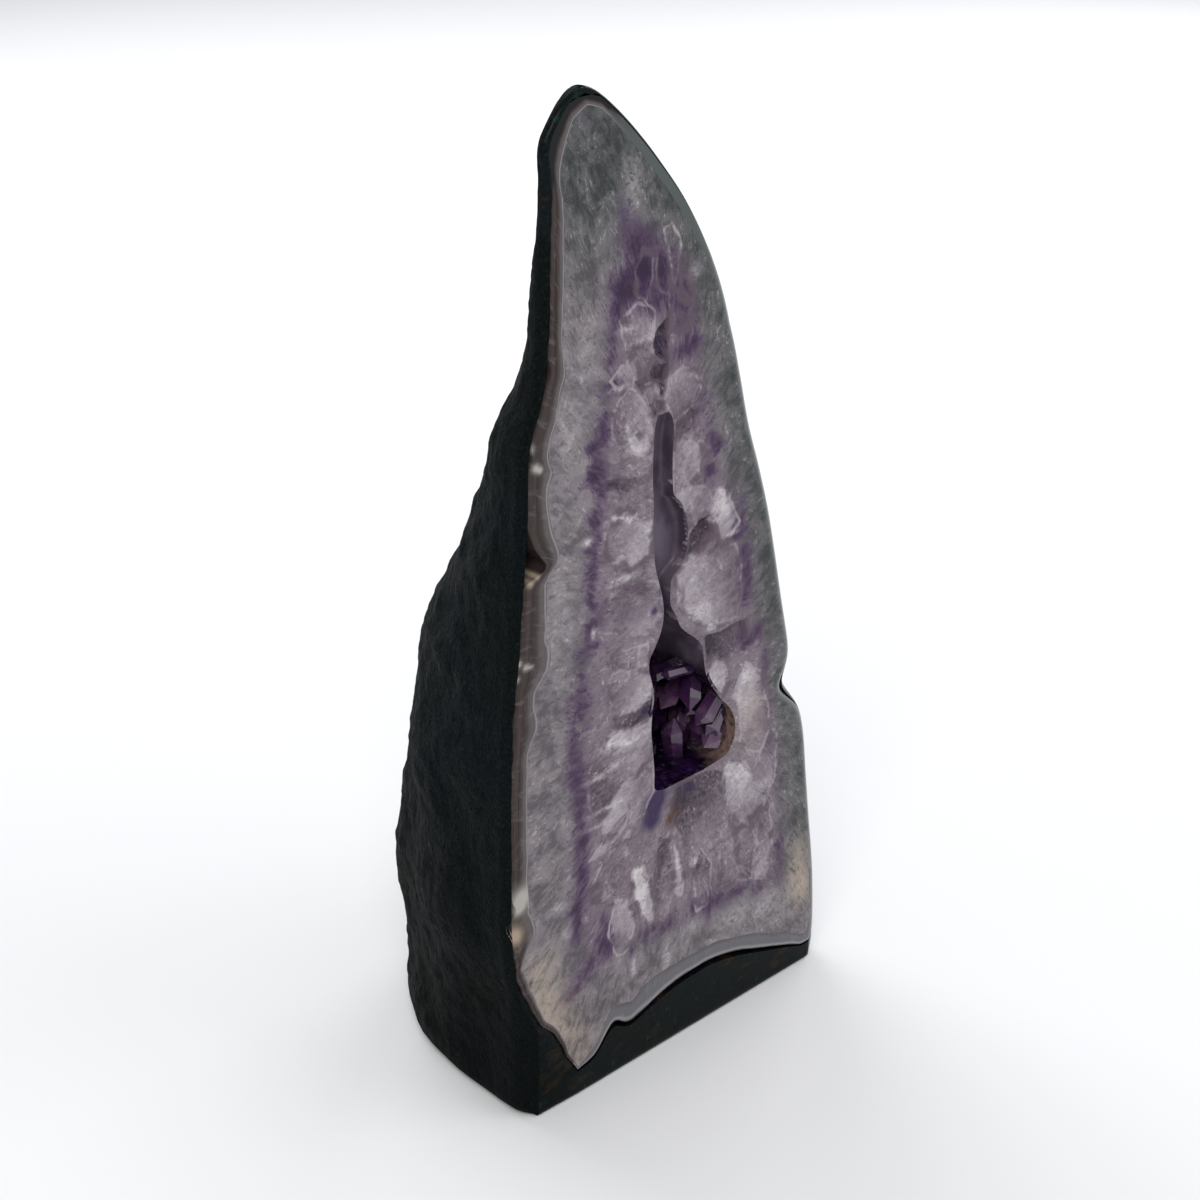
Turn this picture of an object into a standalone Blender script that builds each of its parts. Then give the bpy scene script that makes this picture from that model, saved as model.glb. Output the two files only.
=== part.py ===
"""Tall amethyst geode, sawn flat on one side and on its foot, the side polished.

The stone is worked out in millimetres from the left foot corner of the polished
face: x runs right along the face, y runs back into the rock and z runs up. Every
piece is then moved so that the origin is at the middle of the foot.
"""

import math
import random

import bmesh
import bpy
from mathutils import Matrix, Vector, noise

MM = 0.001

# Whole stone: height, left wall, right wall and depth from the face to the back
STONE_STATIONS = (
    (-4.5, -5, 129.4, 97),
    (8, -5, 129.8, 96),
    (22, -5, 129.2, 95),
    (36, -6.5, 127.7, 94),
    (50, -9.8, 125.6, 92),
    (66, -11.4, 123.4, 89.5),
    (84, -11.1, 120.8, 85),
    (103, -10.9, 115.6, 79.5),
    (120, -10.1, 111.4, 76),
    (135, -9.2, 107.8, 70),
    (150, -7, 104.4, 61),
    (165, -5.6, 100.7, 53),
    (180, -4, 96, 46),
    (195, -2.8, 90.8, 38.5),
    (211, -2, 86.6, 30),
    (224, 3, 82.9, 23.5),
    (238, 5.3, 77.6, 18),
    (252, 6.1, 70.5, 14),
    (268, 6.2, 59.9, 9.8),
    (282, 6.4, 48, 7),
    (291, 5.6, 39.4, 5.6),
    (297, 8.6, 33, 5.2),
    (302, 13.2, 26.8, 4.8),
    (305, 17.8, 21.8, 4.2),
)
FOOT_LEVEL = STONE_STATIONS[0][0]
BACK_ROUNDNESS = 2.4  # exponent of the rounded section: 2 is an ellipse, more is squarer
FOOT_ROUND = 5.0
# Radius of the left rim, larger at the foot corner: height and radius
LEFT_RIM_ROUND = ((10, 8), (34, 6.5), (54, 4))
RIGHT_RIM_ROUND = 7.0
RIM_SHARE_OF_DEPTH = 0.32  # the rims stay this small where the stone is thin
STONE_ROW_STEP = 10.5
STONE_BACK_COLUMNS = 21
RIM_COLUMNS = 2

# Relief of the rough rock
LUMP_SCALE, LUMP_HEIGHT = 34.0, 3.2
LUMP_SHIFT = Vector((3.1, 7.7, 1.3))
PIT_SCALE, PIT_DEPTH = 19.0, 2.4
PIT_RISE = 0.25  # pits are cut deeper than the bumps between them stand out
PIT_SHIFT = Vector((11.2, 4.4, 8.9))
# Ledge across the rough side: height, step, softness, slant along y, wave and its reach
LEDGE_HEIGHT, LEDGE_DEPTH, LEDGE_WIDTH = 172.0, 1.8, 7.0
LEDGE_SLANT, LEDGE_WAVE, LEDGE_REACH = 0.12, 5.0, 40.0
RELIEF_FADE = 14.0  # distance from the rim over which the relief grows
# Where the stone is thin its relief is less: depth, depth over which it grows, least share
THIN_DEPTH, THIN_FADE, THIN_RELIEF = 6.0, 34.0, 0.25
# Notch in the right edge of the face: height, half height, depth into the edge, reach back
NOTCH_HEIGHT, NOTCH_HALF, NOTCH_DEPTH, NOTCH_REACH = 102.5, 7.5, 7.0, 24.0

# Layers of the lining, outermost first
LAYER_GAP = 0.3
ROCK_AT_RIM = 1.8
ROCK_AT_BACK = 11.0
ROCK_SHARE_AT_BACK = 0.42  # of the depth, where the stone is thin
LAYER_ROUNDNESS = 2.5
AGATE_AT_LEFT, AGATE_AT_RIGHT, AGATE_AT_FOOT, AGATE_AT_BACK = 5.5, 4.0, 3.5, 4.5
AGATE_SHARE_AT_BACK = 0.3
LAYER_FOOT, LAYER_TOP = 5.2, 301.5
LAYER_ROW_STEP = 13.0
LAYER_COLUMNS = 13
CUTTER_REACH = 20.0  # how far a cutter stands out in front of the face

# The rock's foot corner on the face, which the layers stop short of: height and x
FOOT_CORNER = (
    (5.2, 16), (10.5, 12.6), (18, 9.2), (24.6, 4.8), (29.4, 0.6), (38.6, -3.7), (47, -7.4), (56, -14),
)
# Rock between foot and layers, as the rise of the layers' lower edge along x
FOOT_RISE = (
    (16, 0), (23.5, 2.2), (31.2, 9.8), (37.8, 6.8), (43, 7.6), (52, 10.4), (62, 12.1), (76, 12.2),
    (88, 9.6), (99, 5.6), (112, 0.8), (120, -2.6),
)
FOOT_RISE_FADE = 34.0
RIGHT_FOOT_CORNER, RIGHT_FOOT_CORNER_HEIGHT = 4.0, 8.0

# Hollow and the slot above it: height, left, right and depth
HOLLOW_STATIONS = (
    (87, 51.5, 76.5, 16),
    (90, 49.5, 80, 22),
    (96, 48.5, 83.5, 32),
    (104, 47.6, 81.5, 38),
    (112, 47, 75.8, 37),
    (120, 47.6, 70.5, 33),
    (128, 46, 69, 27),
    (134, 47, 65, 22),
    (141, 50.2, 58.4, 17),
    (150, 51, 54.8, 15),
    (157, 49.8, 55.4, 17),
    (163, 48, 60.4, 19),
    (170, 47.2, 61.4, 20),
    (177, 46.9, 59.4, 19),
    (183, 46.9, 55.6, 16),
    (195, 46.7, 54.8, 12),
    (204, 47.3, 54.8, 8),
    (209, 49.5, 53, 5),
)
HOLLOW_TOP = 136.0  # above this it narrows into the slot
HOLLOW_MIDDLE = (61.0, 8.0)
HOLLOW_ROWS = 19
HOLLOW_COLUMNS = 14
HOLLOW_ROUNDNESS = 2.2
HOLLOW_FRONT = 0.4  # the crystal crust starts this far behind the polished face
CRUST_WALL = 1.5
CRYSTAL_SINK = 0.4  # crystals end this far inside the crust's own wall
LEAST_HALF_WIDTH = 0.5

# Open pockets in the polished quartz: centre x, centre z, half sizes x, y, z and turn
POCKETS = (
    (48.5, 230.5, 2.6, 4.0, 5.5, 6.0),
    (56.5, 226.0, 4.6, 3.5, 3.6, -14.0),
    (70.5, 166.5, 5.6, 4.5, 3.2, 9.0),
    (90.0, 100.0, 5.5, 4.0, 9.5, -12.0),
    (95.0, 74.0, 9.0, 4.5, 8.0, 18.0),
)

# Crystals of the hollow: rows, columns, radius and length
HOLLOW_CRYSTAL_ROWS, HOLLOW_CRYSTAL_COLUMNS = 5, 7
CRYSTAL_RADIUS = (2.4, 4.4)
CRYSTAL_LENGTH = (6.0, 11.5)
SLOT_CRYSTAL_RADIUS = (1.3, 2.1)
SLOT_CRYSTAL_LENGTH = (2.5, 4.2)
SLOT_CRYSTAL_HEIGHTS = (156, 164, 173, 183)
SLOT_CRYSTAL_TURNS = (0.26, 0.5, 0.74)
CRYSTAL_ROOT = 2.5
CRYSTAL_TIP_SHARE = 0.95  # height of the point against the radius
CRYSTAL_LEAN = 0.35
# Space of the hollow that stays open, as low and high corners
OPEN_SPACE = (Vector((53.0, -5.0, 97.0)), Vector((67.0, 17.0, 118.0)))
OPEN_MARGIN = 0.8
SEED = 23

WELD = 0.0005

MATERIALS = {
    "basalt_rind": ((0.022, 0.030, 0.028), 0.72),
    "agate_band": ((0.20, 0.175, 0.165), 0.16),
    "quartz_lining": ((0.27, 0.24, 0.27), 0.12),
    "cavity_crystals": ((0.10, 0.03, 0.14), 0.14),
}


def smooth_value(stations, height, column=1):
    """Value of one column of a station table, eased smoothly between its rows."""
    last = len(stations) - 1
    if height <= stations[0][0]:
        return float(stations[0][column])
    if height >= stations[last][0]:
        return float(stations[last][column])
    index = max(i for i in range(last) if stations[i][0] <= height)

    def slope(row):
        before = stations[max(row - 1, 0)]
        after = stations[min(row + 1, last)]
        return (after[column] - before[column]) / (after[0] - before[0])

    low, high = stations[index], stations[index + 1]
    span = high[0] - low[0]
    t = (height - low[0]) / span
    return (
        low[column] * (2 * t**3 - 3 * t**2 + 1)
        + slope(index) * span * (t**3 - 2 * t**2 + t)
        + high[column] * (3 * t**2 - 2 * t**3)
        + slope(index + 1) * span * (t**3 - t**2)
    )


def rounded_back(turn, left, right, front, depth, roundness):
    """Point of a rounded section, from the right wall (turn 0) to the left wall (turn 1)."""
    angle = math.pi * turn
    side = math.cos(angle)
    across = math.copysign(abs(side) ** (2 / roundness), side)
    back = max(math.sin(angle), 0.0) ** (2 / roundness)
    x = (left + right) / 2 + across * (right - left) / 2
    return x, front + (depth - front) * back


def wrapped_body(columns, rows, place, strip_ends=False):
    """Closed body: a grid wrapped round by place(column, row), its seam welded, its ends filled.

    With strip_ends the ends are filled by strips from the first half of the columns to
    the matching columns of the second half, so that an end can be curved, and all faces
    are parted along the same diagonal, so that bodies nested in one another stay apart.
    """
    bm = bmesh.new()
    bmesh.ops.create_grid(bm, x_segments=columns, y_segments=rows, size=0.5)
    ring = {}
    for vert in bm.verts:
        column = round((vert.co.x + 0.5) * columns) % columns
        row = round((vert.co.y + 0.5) * rows)
        vert.co = place(column, row)
        ring[column, row] = vert
    if strip_ends:
        for row in (0, rows):
            for near in range(columns // 2 - 1):
                far = columns - 1 - near
                bm.faces.new([ring[c, row] for c in (near, near + 1, far - 1, far)])
        bmesh.ops.triangulate(bm, faces=bm.faces, quad_method="FIXED")
    bmesh.ops.remove_doubles(bm, verts=bm.verts, dist=WELD)
    bmesh.ops.holes_fill(bm, edges=[edge for edge in bm.edges if edge.is_boundary], sides=0)
    bmesh.ops.recalc_face_normals(bm, faces=bm.faces)
    return bm


def rock_relief(point, distance):
    """Outward height of the rough rock's lumps, pits and ledge at a point."""
    lump = noise.noise(point / LUMP_SCALE + LUMP_SHIFT)
    pit = noise.noise(point / PIT_SCALE + PIT_SHIFT)
    ledge = LEDGE_HEIGHT + LEDGE_SLANT * point.y + LEDGE_WAVE * noise.noise(point / LEDGE_REACH)
    above = point.z - ledge
    step = -math.tanh(above / LEDGE_WIDTH) * math.exp(-((above / LEDGE_REACH) ** 2))
    fade = min(max(distance, 0) / RELIEF_FADE, 1.0)
    depth = smooth_value(STONE_STATIONS, point.z, 3)
    fade_up = min(max(depth - THIN_DEPTH, 0) / THIN_FADE, 1.0)
    relief = LUMP_HEIGHT * lump + PIT_DEPTH * min(pit, PIT_RISE) + LEDGE_DEPTH / 2 * step
    return relief * fade * (THIN_RELIEF + (1 - THIN_RELIEF) * fade_up)


def notch_depth(height, back):
    """How far the notch cuts into the right wall at a height and a distance behind the face."""
    upright = math.exp(-(((height - NOTCH_HEIGHT) / NOTCH_HALF) ** 2))
    return NOTCH_DEPTH * upright * max(1 - back / NOTCH_REACH, 0.0) ** 2


def even_heights(low, high, step):
    """Even heights between two ends, with three rows of their own across the notch."""
    count = round((high - low) / step)
    even = [low + (high - low) * number / count for number in range(1, count)]
    notch = [NOTCH_HEIGHT + NOTCH_HALF * share for share in (-0.75, 0, 0.75)]
    kept = [height for height in even if not notch[0] - 4 < height < notch[2] + 4]
    return sorted(kept + notch)


def stone_heights():
    """Heights of the stone's rows: close together round the foot and at the tip."""
    top = STONE_STATIONS[-1][0]
    turns = [math.radians(turn) for turn in (0, 35, 62, 90)]
    foot = [FOOT_LEVEL + FOOT_ROUND * (1 - math.cos(turn)) for turn in turns]
    tip = [top - 4.0, top - 1.2, top]
    return foot + even_heights(foot[-1], tip[0], STONE_ROW_STEP) + tip


def stone_point(column, height):
    """Point of the stone's surface: flat face, right rim, rough back, left rim, then round again."""
    left = smooth_value(STONE_STATIONS, height, 1)
    right = smooth_value(STONE_STATIONS, height, 2)
    depth = smooth_value(STONE_STATIONS, height, 3)
    above_foot = height - FOOT_LEVEL
    low = max(FOOT_ROUND - above_foot, 0.0)
    inset = FOOT_ROUND - math.sqrt(FOOT_ROUND**2 - low**2)
    left, right, depth = left + inset, right - inset, depth - inset
    round_left = min(smooth_value(LEFT_RIM_ROUND, height), RIM_SHARE_OF_DEPTH * depth)
    round_right = min(RIGHT_RIM_ROUND, RIM_SHARE_OF_DEPTH * depth)
    if column <= RIM_COLUMNS:
        angle = math.pi / 2 * column / RIM_COLUMNS
        y = round_right * (1 - math.cos(angle))
        x = right - round_right * (1 - math.sin(angle)) - notch_depth(height, y)
        return Vector((x, y, height))
    column -= RIM_COLUMNS
    if column < STONE_BACK_COLUMNS:
        turn = column / STONE_BACK_COLUMNS
        front = round_right + (round_left - round_right) * turn
        x, y = rounded_back(turn, left, right, front, depth, BACK_ROUNDNESS)
        if turn < 0.5:
            x -= notch_depth(height, y)
        middle = Vector(((left + right) / 2, depth * 0.35, height))
        outward = (Vector((x, y, height)) - middle).normalized()
        relief = rock_relief(Vector((x, y, height)), y - front)
        relief *= min(above_foot / (2 * FOOT_ROUND), 1.0)
        return Vector((x, y, height)) + outward * relief
    column -= STONE_BACK_COLUMNS
    angle = math.pi / 2 * column / RIM_COLUMNS
    x = left + round_left * (1 - math.cos(angle))
    return Vector((x, round_left * (1 - math.sin(angle)), height))


def stone_body():
    """The whole stone, with the polished face as one flat face."""
    heights = stone_heights()
    columns = 2 * RIM_COLUMNS + STONE_BACK_COLUMNS + 1
    bm = wrapped_body(
        columns, len(heights) - 1, lambda column, row: stone_point(column, heights[row])
    )
    face = [f for f in bm.faces if all(abs(v.co.y) < WELD for v in f.verts)]
    bmesh.ops.dissolve_faces(bm, faces=face)
    return bm


def layer_body(thin_left, thin_right, thin_foot, thin_back):
    """The space inside the rock, thinned by a further layer, reaching out through the face."""
    foot = LAYER_FOOT + thin_foot
    top = LAYER_TOP - thin_left
    heights = [foot, *even_heights(LAYER_FOOT, LAYER_TOP, LAYER_ROW_STEP), top]

    def place(column, row):
        height = heights[row]
        left = smooth_value(STONE_STATIONS, height, 1) + ROCK_AT_RIM
        corner = smooth_value(FOOT_CORNER, height)
        left = max(left, corner) + thin_left
        right = smooth_value(STONE_STATIONS, height, 2) - ROCK_AT_RIM - thin_right
        right -= RIGHT_FOOT_CORNER * max(1 - (height - foot) / RIGHT_FOOT_CORNER_HEIGHT, 0) ** 2
        depth = smooth_value(STONE_STATIONS, height, 3)
        depth -= min(ROCK_AT_BACK, ROCK_SHARE_AT_BACK * depth)
        depth -= min(thin_back, thin_back / AGATE_AT_BACK * AGATE_SHARE_AT_BACK * depth)
        in_front = column > LAYER_COLUMNS
        turn = (2 * LAYER_COLUMNS + 1 - column if in_front else column) / LAYER_COLUMNS
        x, y = rounded_back(turn, left, right, 0.0, depth, LAYER_ROUNDNESS)
        if in_front:
            y = -CUTTER_REACH
        if turn < 0.5:
            x -= notch_depth(height, max(y, 0.0))
        fade = max(1 - (height - foot) / FOOT_RISE_FADE, 0) ** 2
        return Vector((x, y, height + smooth_value(FOOT_RISE, x) * fade))

    return wrapped_body(2 * LAYER_COLUMNS + 2, len(heights) - 1, place, strip_ends=True)


def hollow_point(turn, height, wall, front=0.0):
    """Point on the hollow's wall, from its right edge (turn 0) round the back to its left edge."""
    left = smooth_value(HOLLOW_STATIONS, height, 1)
    right = smooth_value(HOLLOW_STATIONS, height, 2)
    depth = smooth_value(HOLLOW_STATIONS, height, 3)
    half = max((right - left) / 2 - wall, LEAST_HALF_WIDTH)
    middle = (left + right) / 2
    deep = max(depth - wall, front + 2.0)
    x, y = rounded_back(turn, middle - half, middle + half, front, deep, HOLLOW_ROUNDNESS)
    return Vector((x, y, height))


def hollow_body(wall, front):
    """The hollow and slot as a solid, thinned by a wall, from a plane in front of or behind the face."""
    foot = HOLLOW_STATIONS[0][0] + wall
    top = HOLLOW_STATIONS[-1][0] - wall
    start = max(front, 0.0)

    def place(column, row):
        height = foot + (top - foot) * row / HOLLOW_ROWS
        if column in (0, HOLLOW_COLUMNS + 2):
            edge = hollow_point(min(column, 1), height, wall, start)
            return Vector((edge.x, min(front, start), height))
        return hollow_point((column - 1) / HOLLOW_COLUMNS, height, wall, start)

    bm = wrapped_body(HOLLOW_COLUMNS + 3, HOLLOW_ROWS, place)
    ends = [face for face in bm.faces if len(face.verts) > 4]
    bmesh.ops.poke(bm, faces=ends)
    return bm


def add_crystal(bm, root, direction, radius, length, turn):
    """Six-sided crystal with a pointed end, grown from root along direction."""
    made = bmesh.ops.create_cone(
        bm, cap_ends=True, segments=6, radius1=radius * 0.86, radius2=radius, depth=length
    )
    top = [v for v in made["verts"] if v.co.z > 0]
    cap = next(f for f in top[0].link_faces if all(v in top for v in f.verts))
    point = bmesh.ops.poke(bm, faces=[cap])["verts"][0]
    point.co += Vector((radius * 0.2, radius * 0.12, radius * CRYSTAL_TIP_SHARE))
    placing = direction.to_track_quat("Z", "Y").to_matrix().to_4x4()
    placing = Matrix.Translation(root) @ placing @ Matrix.Rotation(turn, 4, "Z")
    verts = made["verts"] + [point]
    bmesh.ops.translate(bm, verts=verts, vec=(0, 0, length / 2))
    bmesh.ops.transform(bm, matrix=placing, verts=verts)


def clear_of_open_space(root, direction, radius, reach):
    """Whether a crystal of this size stays out of the hollow's open space."""
    low, high = OPEN_SPACE
    margin = radius * 0.9 + OPEN_MARGIN
    for step in range(9):
        point = root + direction * (reach * step / 8)
        if all(low[i] - margin < point[i] < high[i] + margin for i in range(3)):
            return False
    return True


def crystals_body(draw):
    """All crystals of the hollow and slot, overlapping, with their roots in the wall."""
    bm = bmesh.new()
    sites = []
    low, high = HOLLOW_STATIONS[0][0] + 3, HOLLOW_TOP
    for row in range(HOLLOW_CRYSTAL_ROWS):
        for column in range(HOLLOW_CRYSTAL_COLUMNS):
            height = low + (high - low) * (row + draw.uniform(0.15, 0.85)) / HOLLOW_CRYSTAL_ROWS
            turn = (column + draw.uniform(0.2, 0.8)) / HOLLOW_CRYSTAL_COLUMNS
            sites.append((height, turn, CRYSTAL_RADIUS, CRYSTAL_LENGTH))
    for height in SLOT_CRYSTAL_HEIGHTS:
        for turn in SLOT_CRYSTAL_TURNS:
            spot = height + draw.uniform(-2, 2)
            sites.append((spot, turn, SLOT_CRYSTAL_RADIUS, SLOT_CRYSTAL_LENGTH))
    for height, turn, radii, lengths in sites:
        spot = hollow_point(turn, height, CRUST_WALL)
        along = hollow_point(min(turn + 0.02, 1), height, CRUST_WALL) - spot
        up = hollow_point(turn, height + 0.5, CRUST_WALL) - spot
        inward = up.cross(along).normalized()
        if inward.dot(Vector((*HOLLOW_MIDDLE, height)) - spot) < 0:
            inward = -inward
        lean = Vector([draw.uniform(-1, 1) for _ in range(3)]) * CRYSTAL_LEAN
        direction = (inward + lean).normalized()
        radius = draw.uniform(*radii)
        length = draw.uniform(*lengths)
        reach = length + radius
        while reach > 2 and not clear_of_open_space(spot, direction, radius, reach):
            reach -= 0.5
        length = reach - radius
        if length > 1.0:
            root = spot - direction * CRYSTAL_ROOT
            add_crystal(bm, root, direction, radius, length + CRYSTAL_ROOT, draw.uniform(0, math.pi))
    return bm


def pocket_body(centre_x, centre_z, half_x, half_y, half_z, turn):
    """A flat-sided pocket cutter, centred on the plane of the face."""
    bm = bmesh.new()
    bmesh.ops.create_icosphere(bm, subdivisions=1, radius=1.0)
    bmesh.ops.scale(bm, verts=bm.verts, vec=(half_x, half_y, half_z))
    placing = Matrix.Translation((centre_x, 0.0, centre_z))
    placing = placing @ Matrix.Rotation(math.radians(turn), 4, "Y")
    bmesh.ops.transform(bm, matrix=placing, verts=bm.verts)
    return bm


def make_material(name):
    """Principled material of one piece."""
    colour, roughness = MATERIALS[name]
    material = bpy.data.materials.new(name)
    material.use_nodes = True
    shader = material.node_tree.nodes["Principled BSDF"]
    shader.inputs["Base Color"].default_value = (*colour, 1.0)
    shader.inputs["Roughness"].default_value = roughness
    shader.inputs["Metallic"].default_value = 0.0
    material.diffuse_color = (*colour, 1.0)
    return material


def make_object(name, bm, shift, cutter=False):
    """Object in metres from a bmesh in millimetres, moved by the shift to the origin."""
    bmesh.ops.translate(bm, verts=bm.verts, vec=shift)
    bmesh.ops.scale(bm, verts=bm.verts, vec=(MM, MM, MM))
    mesh = bpy.data.meshes.new(name)
    bm.to_mesh(mesh)
    bm.free()
    made = bpy.data.objects.new(name, mesh)
    bpy.context.scene.collection.objects.link(made)
    if cutter:
        made.hide_render = True
        made.display_type = "WIRE"
    else:
        mesh.materials.append(make_material(name))
    return made


def add_boolean(piece, operation, other, name, crossing=False):
    """Boolean step on a piece; crossing is for an operand whose own parts overlap."""
    step = piece.modifiers.new(name, "BOOLEAN")
    step.operation = operation
    step.object = other
    step.solver = "EXACT"
    step.use_self = crossing


def main():
    """Build the four pieces of the stone and the bodies that shape them."""
    for old in list(bpy.data.objects):
        bpy.data.objects.remove(old)
    draw = random.Random(SEED)

    stone = stone_body()
    xs = [vert.co.x for vert in stone.verts]
    ys = [vert.co.y for vert in stone.verts]
    shift = Vector((-(min(xs) + max(xs)) / 2, -(min(ys) + max(ys)) / 2, -FOOT_LEVEL))

    gap = LAYER_GAP
    agate = (AGATE_AT_LEFT, AGATE_AT_RIGHT, AGATE_AT_FOOT, AGATE_AT_BACK)
    agate_inner = tuple(size + gap for size in agate)
    inside_rock = make_object("inside_rock", layer_body(0, 0, 0, 0), shift, cutter=True)
    inside_agate = make_object("inside_agate", layer_body(*agate), shift, cutter=True)
    stone_cutter = make_object("stone_shape", stone_body(), shift, cutter=True)
    hollow = make_object("hollow_shape", hollow_body(0.0, -CUTTER_REACH), shift, cutter=True)
    hollow_core = make_object(
        "hollow_core", hollow_body(gap + CRUST_WALL, -CUTTER_REACH), shift, cutter=True
    )
    sunk = hollow_body(gap + CRYSTAL_SINK, HOLLOW_FRONT + CRYSTAL_SINK)
    crystal_limit = make_object("crystal_limit", sunk, shift, cutter=True)
    crystals = make_object("crystals", crystals_body(draw), shift, cutter=True)
    add_boolean(crystals, "INTERSECT", crystal_limit, "trimmed to the hollow", crossing=True)

    rock = make_object("basalt_rind", stone, shift)
    add_boolean(rock, "DIFFERENCE", inside_rock, "room for the layers")

    band = make_object("agate_band", layer_body(gap, gap, gap, gap), shift)
    add_boolean(band, "INTERSECT", stone_cutter, "flush with the stone")
    add_boolean(band, "DIFFERENCE", inside_agate, "room for the quartz")

    quartz = make_object("quartz_lining", layer_body(*agate_inner), shift)
    add_boolean(quartz, "INTERSECT", stone_cutter, "flush with the face")
    add_boolean(quartz, "DIFFERENCE", hollow, "hollow and slot")
    for number, pocket in enumerate(POCKETS, start=1):
        cutter = make_object(f"pocket_{number}", pocket_body(*pocket), shift, cutter=True)
        add_boolean(quartz, "DIFFERENCE", cutter, f"pocket {number}")

    crust = make_object("cavity_crystals", hollow_body(gap, HOLLOW_FRONT), shift)
    add_boolean(crust, "DIFFERENCE", hollow_core, "inside of the crust")
    add_boolean(crust, "UNION", crystals, "crystals")


main()
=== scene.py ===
"""Looks of a tall amethyst geode, sawn flat and polished on one side.

Sizes are millimetres in the stone's own axes: x runs right along the polished face from
its left foot corner, y runs back into the rock and z runs up. StoneForm.place turns them
into the frame's metres.
"""

import logging
import math
import random
from collections.abc import Callable
from dataclasses import dataclass, field
from enum import Enum

import bmesh
import bpy
import numpy as np
from mathutils import Matrix, Vector, noise


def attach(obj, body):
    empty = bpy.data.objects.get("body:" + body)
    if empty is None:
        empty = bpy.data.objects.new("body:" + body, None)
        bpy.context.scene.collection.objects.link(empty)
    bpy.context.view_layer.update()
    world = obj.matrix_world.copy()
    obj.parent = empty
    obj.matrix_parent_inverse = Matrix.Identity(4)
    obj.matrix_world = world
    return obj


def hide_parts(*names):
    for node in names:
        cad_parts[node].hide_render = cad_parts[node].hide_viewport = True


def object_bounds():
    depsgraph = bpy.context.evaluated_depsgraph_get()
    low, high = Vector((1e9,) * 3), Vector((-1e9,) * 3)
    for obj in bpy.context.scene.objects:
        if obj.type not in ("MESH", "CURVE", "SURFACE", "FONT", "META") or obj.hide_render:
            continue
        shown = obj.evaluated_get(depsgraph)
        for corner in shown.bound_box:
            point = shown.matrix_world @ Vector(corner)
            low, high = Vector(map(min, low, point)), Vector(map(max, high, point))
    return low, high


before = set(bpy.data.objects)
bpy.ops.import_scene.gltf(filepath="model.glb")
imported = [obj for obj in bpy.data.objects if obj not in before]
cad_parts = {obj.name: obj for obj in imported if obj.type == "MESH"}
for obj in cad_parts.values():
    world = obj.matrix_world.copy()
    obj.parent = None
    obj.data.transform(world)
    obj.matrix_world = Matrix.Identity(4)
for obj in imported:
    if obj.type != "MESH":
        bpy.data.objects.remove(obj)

MM = 0.001
CAD_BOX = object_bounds()
BODY = "root"
log = logging.getLogger("geode")

Point = tuple[float, float]
Colour = tuple[float, float, float]


class Polish(Enum):
    """How a surface was left: rough as it grew, or ground and polished."""

    ROUGH = 0
    POLISHED = 1


def srgb(red: int, green: int, blue: int) -> Colour:
    """Linear colour of an 8-bit display colour.

    Args:
        red: Red, 0 to 255.
        green: Green, 0 to 255.
        blue: Blue, 0 to 255.

    Returns:
        The colour in linear light.
    """
    parts = [value / 255 for value in (red, green, blue)]
    linear = [p / 12.92 if p <= 0.04045 else ((p + 0.055) / 1.055) ** 2.4 for p in parts]
    return (linear[0], linear[1], linear[2])


def portion(value: float, start: float, end: float) -> float:
    """How far a value has gone from start to end, kept between 0 and 1."""
    return min(max((value - start) / (end - start), 0.0), 1.0)


def smooth_value(stations: tuple, height: float, column: int = 1) -> float:
    """Value of one column of a station table, eased smoothly between its rows.

    Args:
        stations: Rows whose first number is the height.
        height: Height to read at.
        column: Which number of the rows to read.

    Returns:
        The eased value.
    """
    last = len(stations) - 1
    if height <= stations[0][0]:
        return float(stations[0][column])
    if height >= stations[last][0]:
        return float(stations[last][column])
    index = max(i for i in range(last) if stations[i][0] <= height)

    def slope(row: int) -> float:
        """Slope of the column at a row, from its neighbours.

        Args:
            row: Number of the row.

        Returns:
            Change of the value for each unit of height.
        """
        before = stations[max(row - 1, 0)]
        after = stations[min(row + 1, last)]
        return (after[column] - before[column]) / (after[0] - before[0])

    low, high = stations[index], stations[index + 1]
    span = high[0] - low[0]
    t = (height - low[0]) / span
    return (
        low[column] * (2 * t**3 - 3 * t**2 + 1)
        + slope(index) * span * (t**3 - 2 * t**2 + t)
        + high[column] * (3 * t**2 - 2 * t**3)
        + slope(index + 1) * span * (t**3 - t**2)
    )


def rounded_back(
    turn: float, left: float, right: float, front: float, depth: float, roundness: float
) -> Point:
    """Point of a rounded section.

    Args:
        turn: 0 at the right wall, 1 at the left wall.
        left: x of the left wall.
        right: x of the right wall.
        front: y where the section starts and ends.
        depth: y of its deepest point.
        roundness: Exponent of the section; 2 is an ellipse, more is squarer.

    Returns:
        x and y of the point.
    """
    angle = math.pi * turn
    side = math.cos(angle)
    across = math.copysign(abs(side) ** (2 / roundness), side)
    back = max(math.sin(angle), 0.0) ** (2 / roundness)
    x = (left + right) / 2 + across * (right - left) / 2
    return x, front + (depth - front) * back


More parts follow.
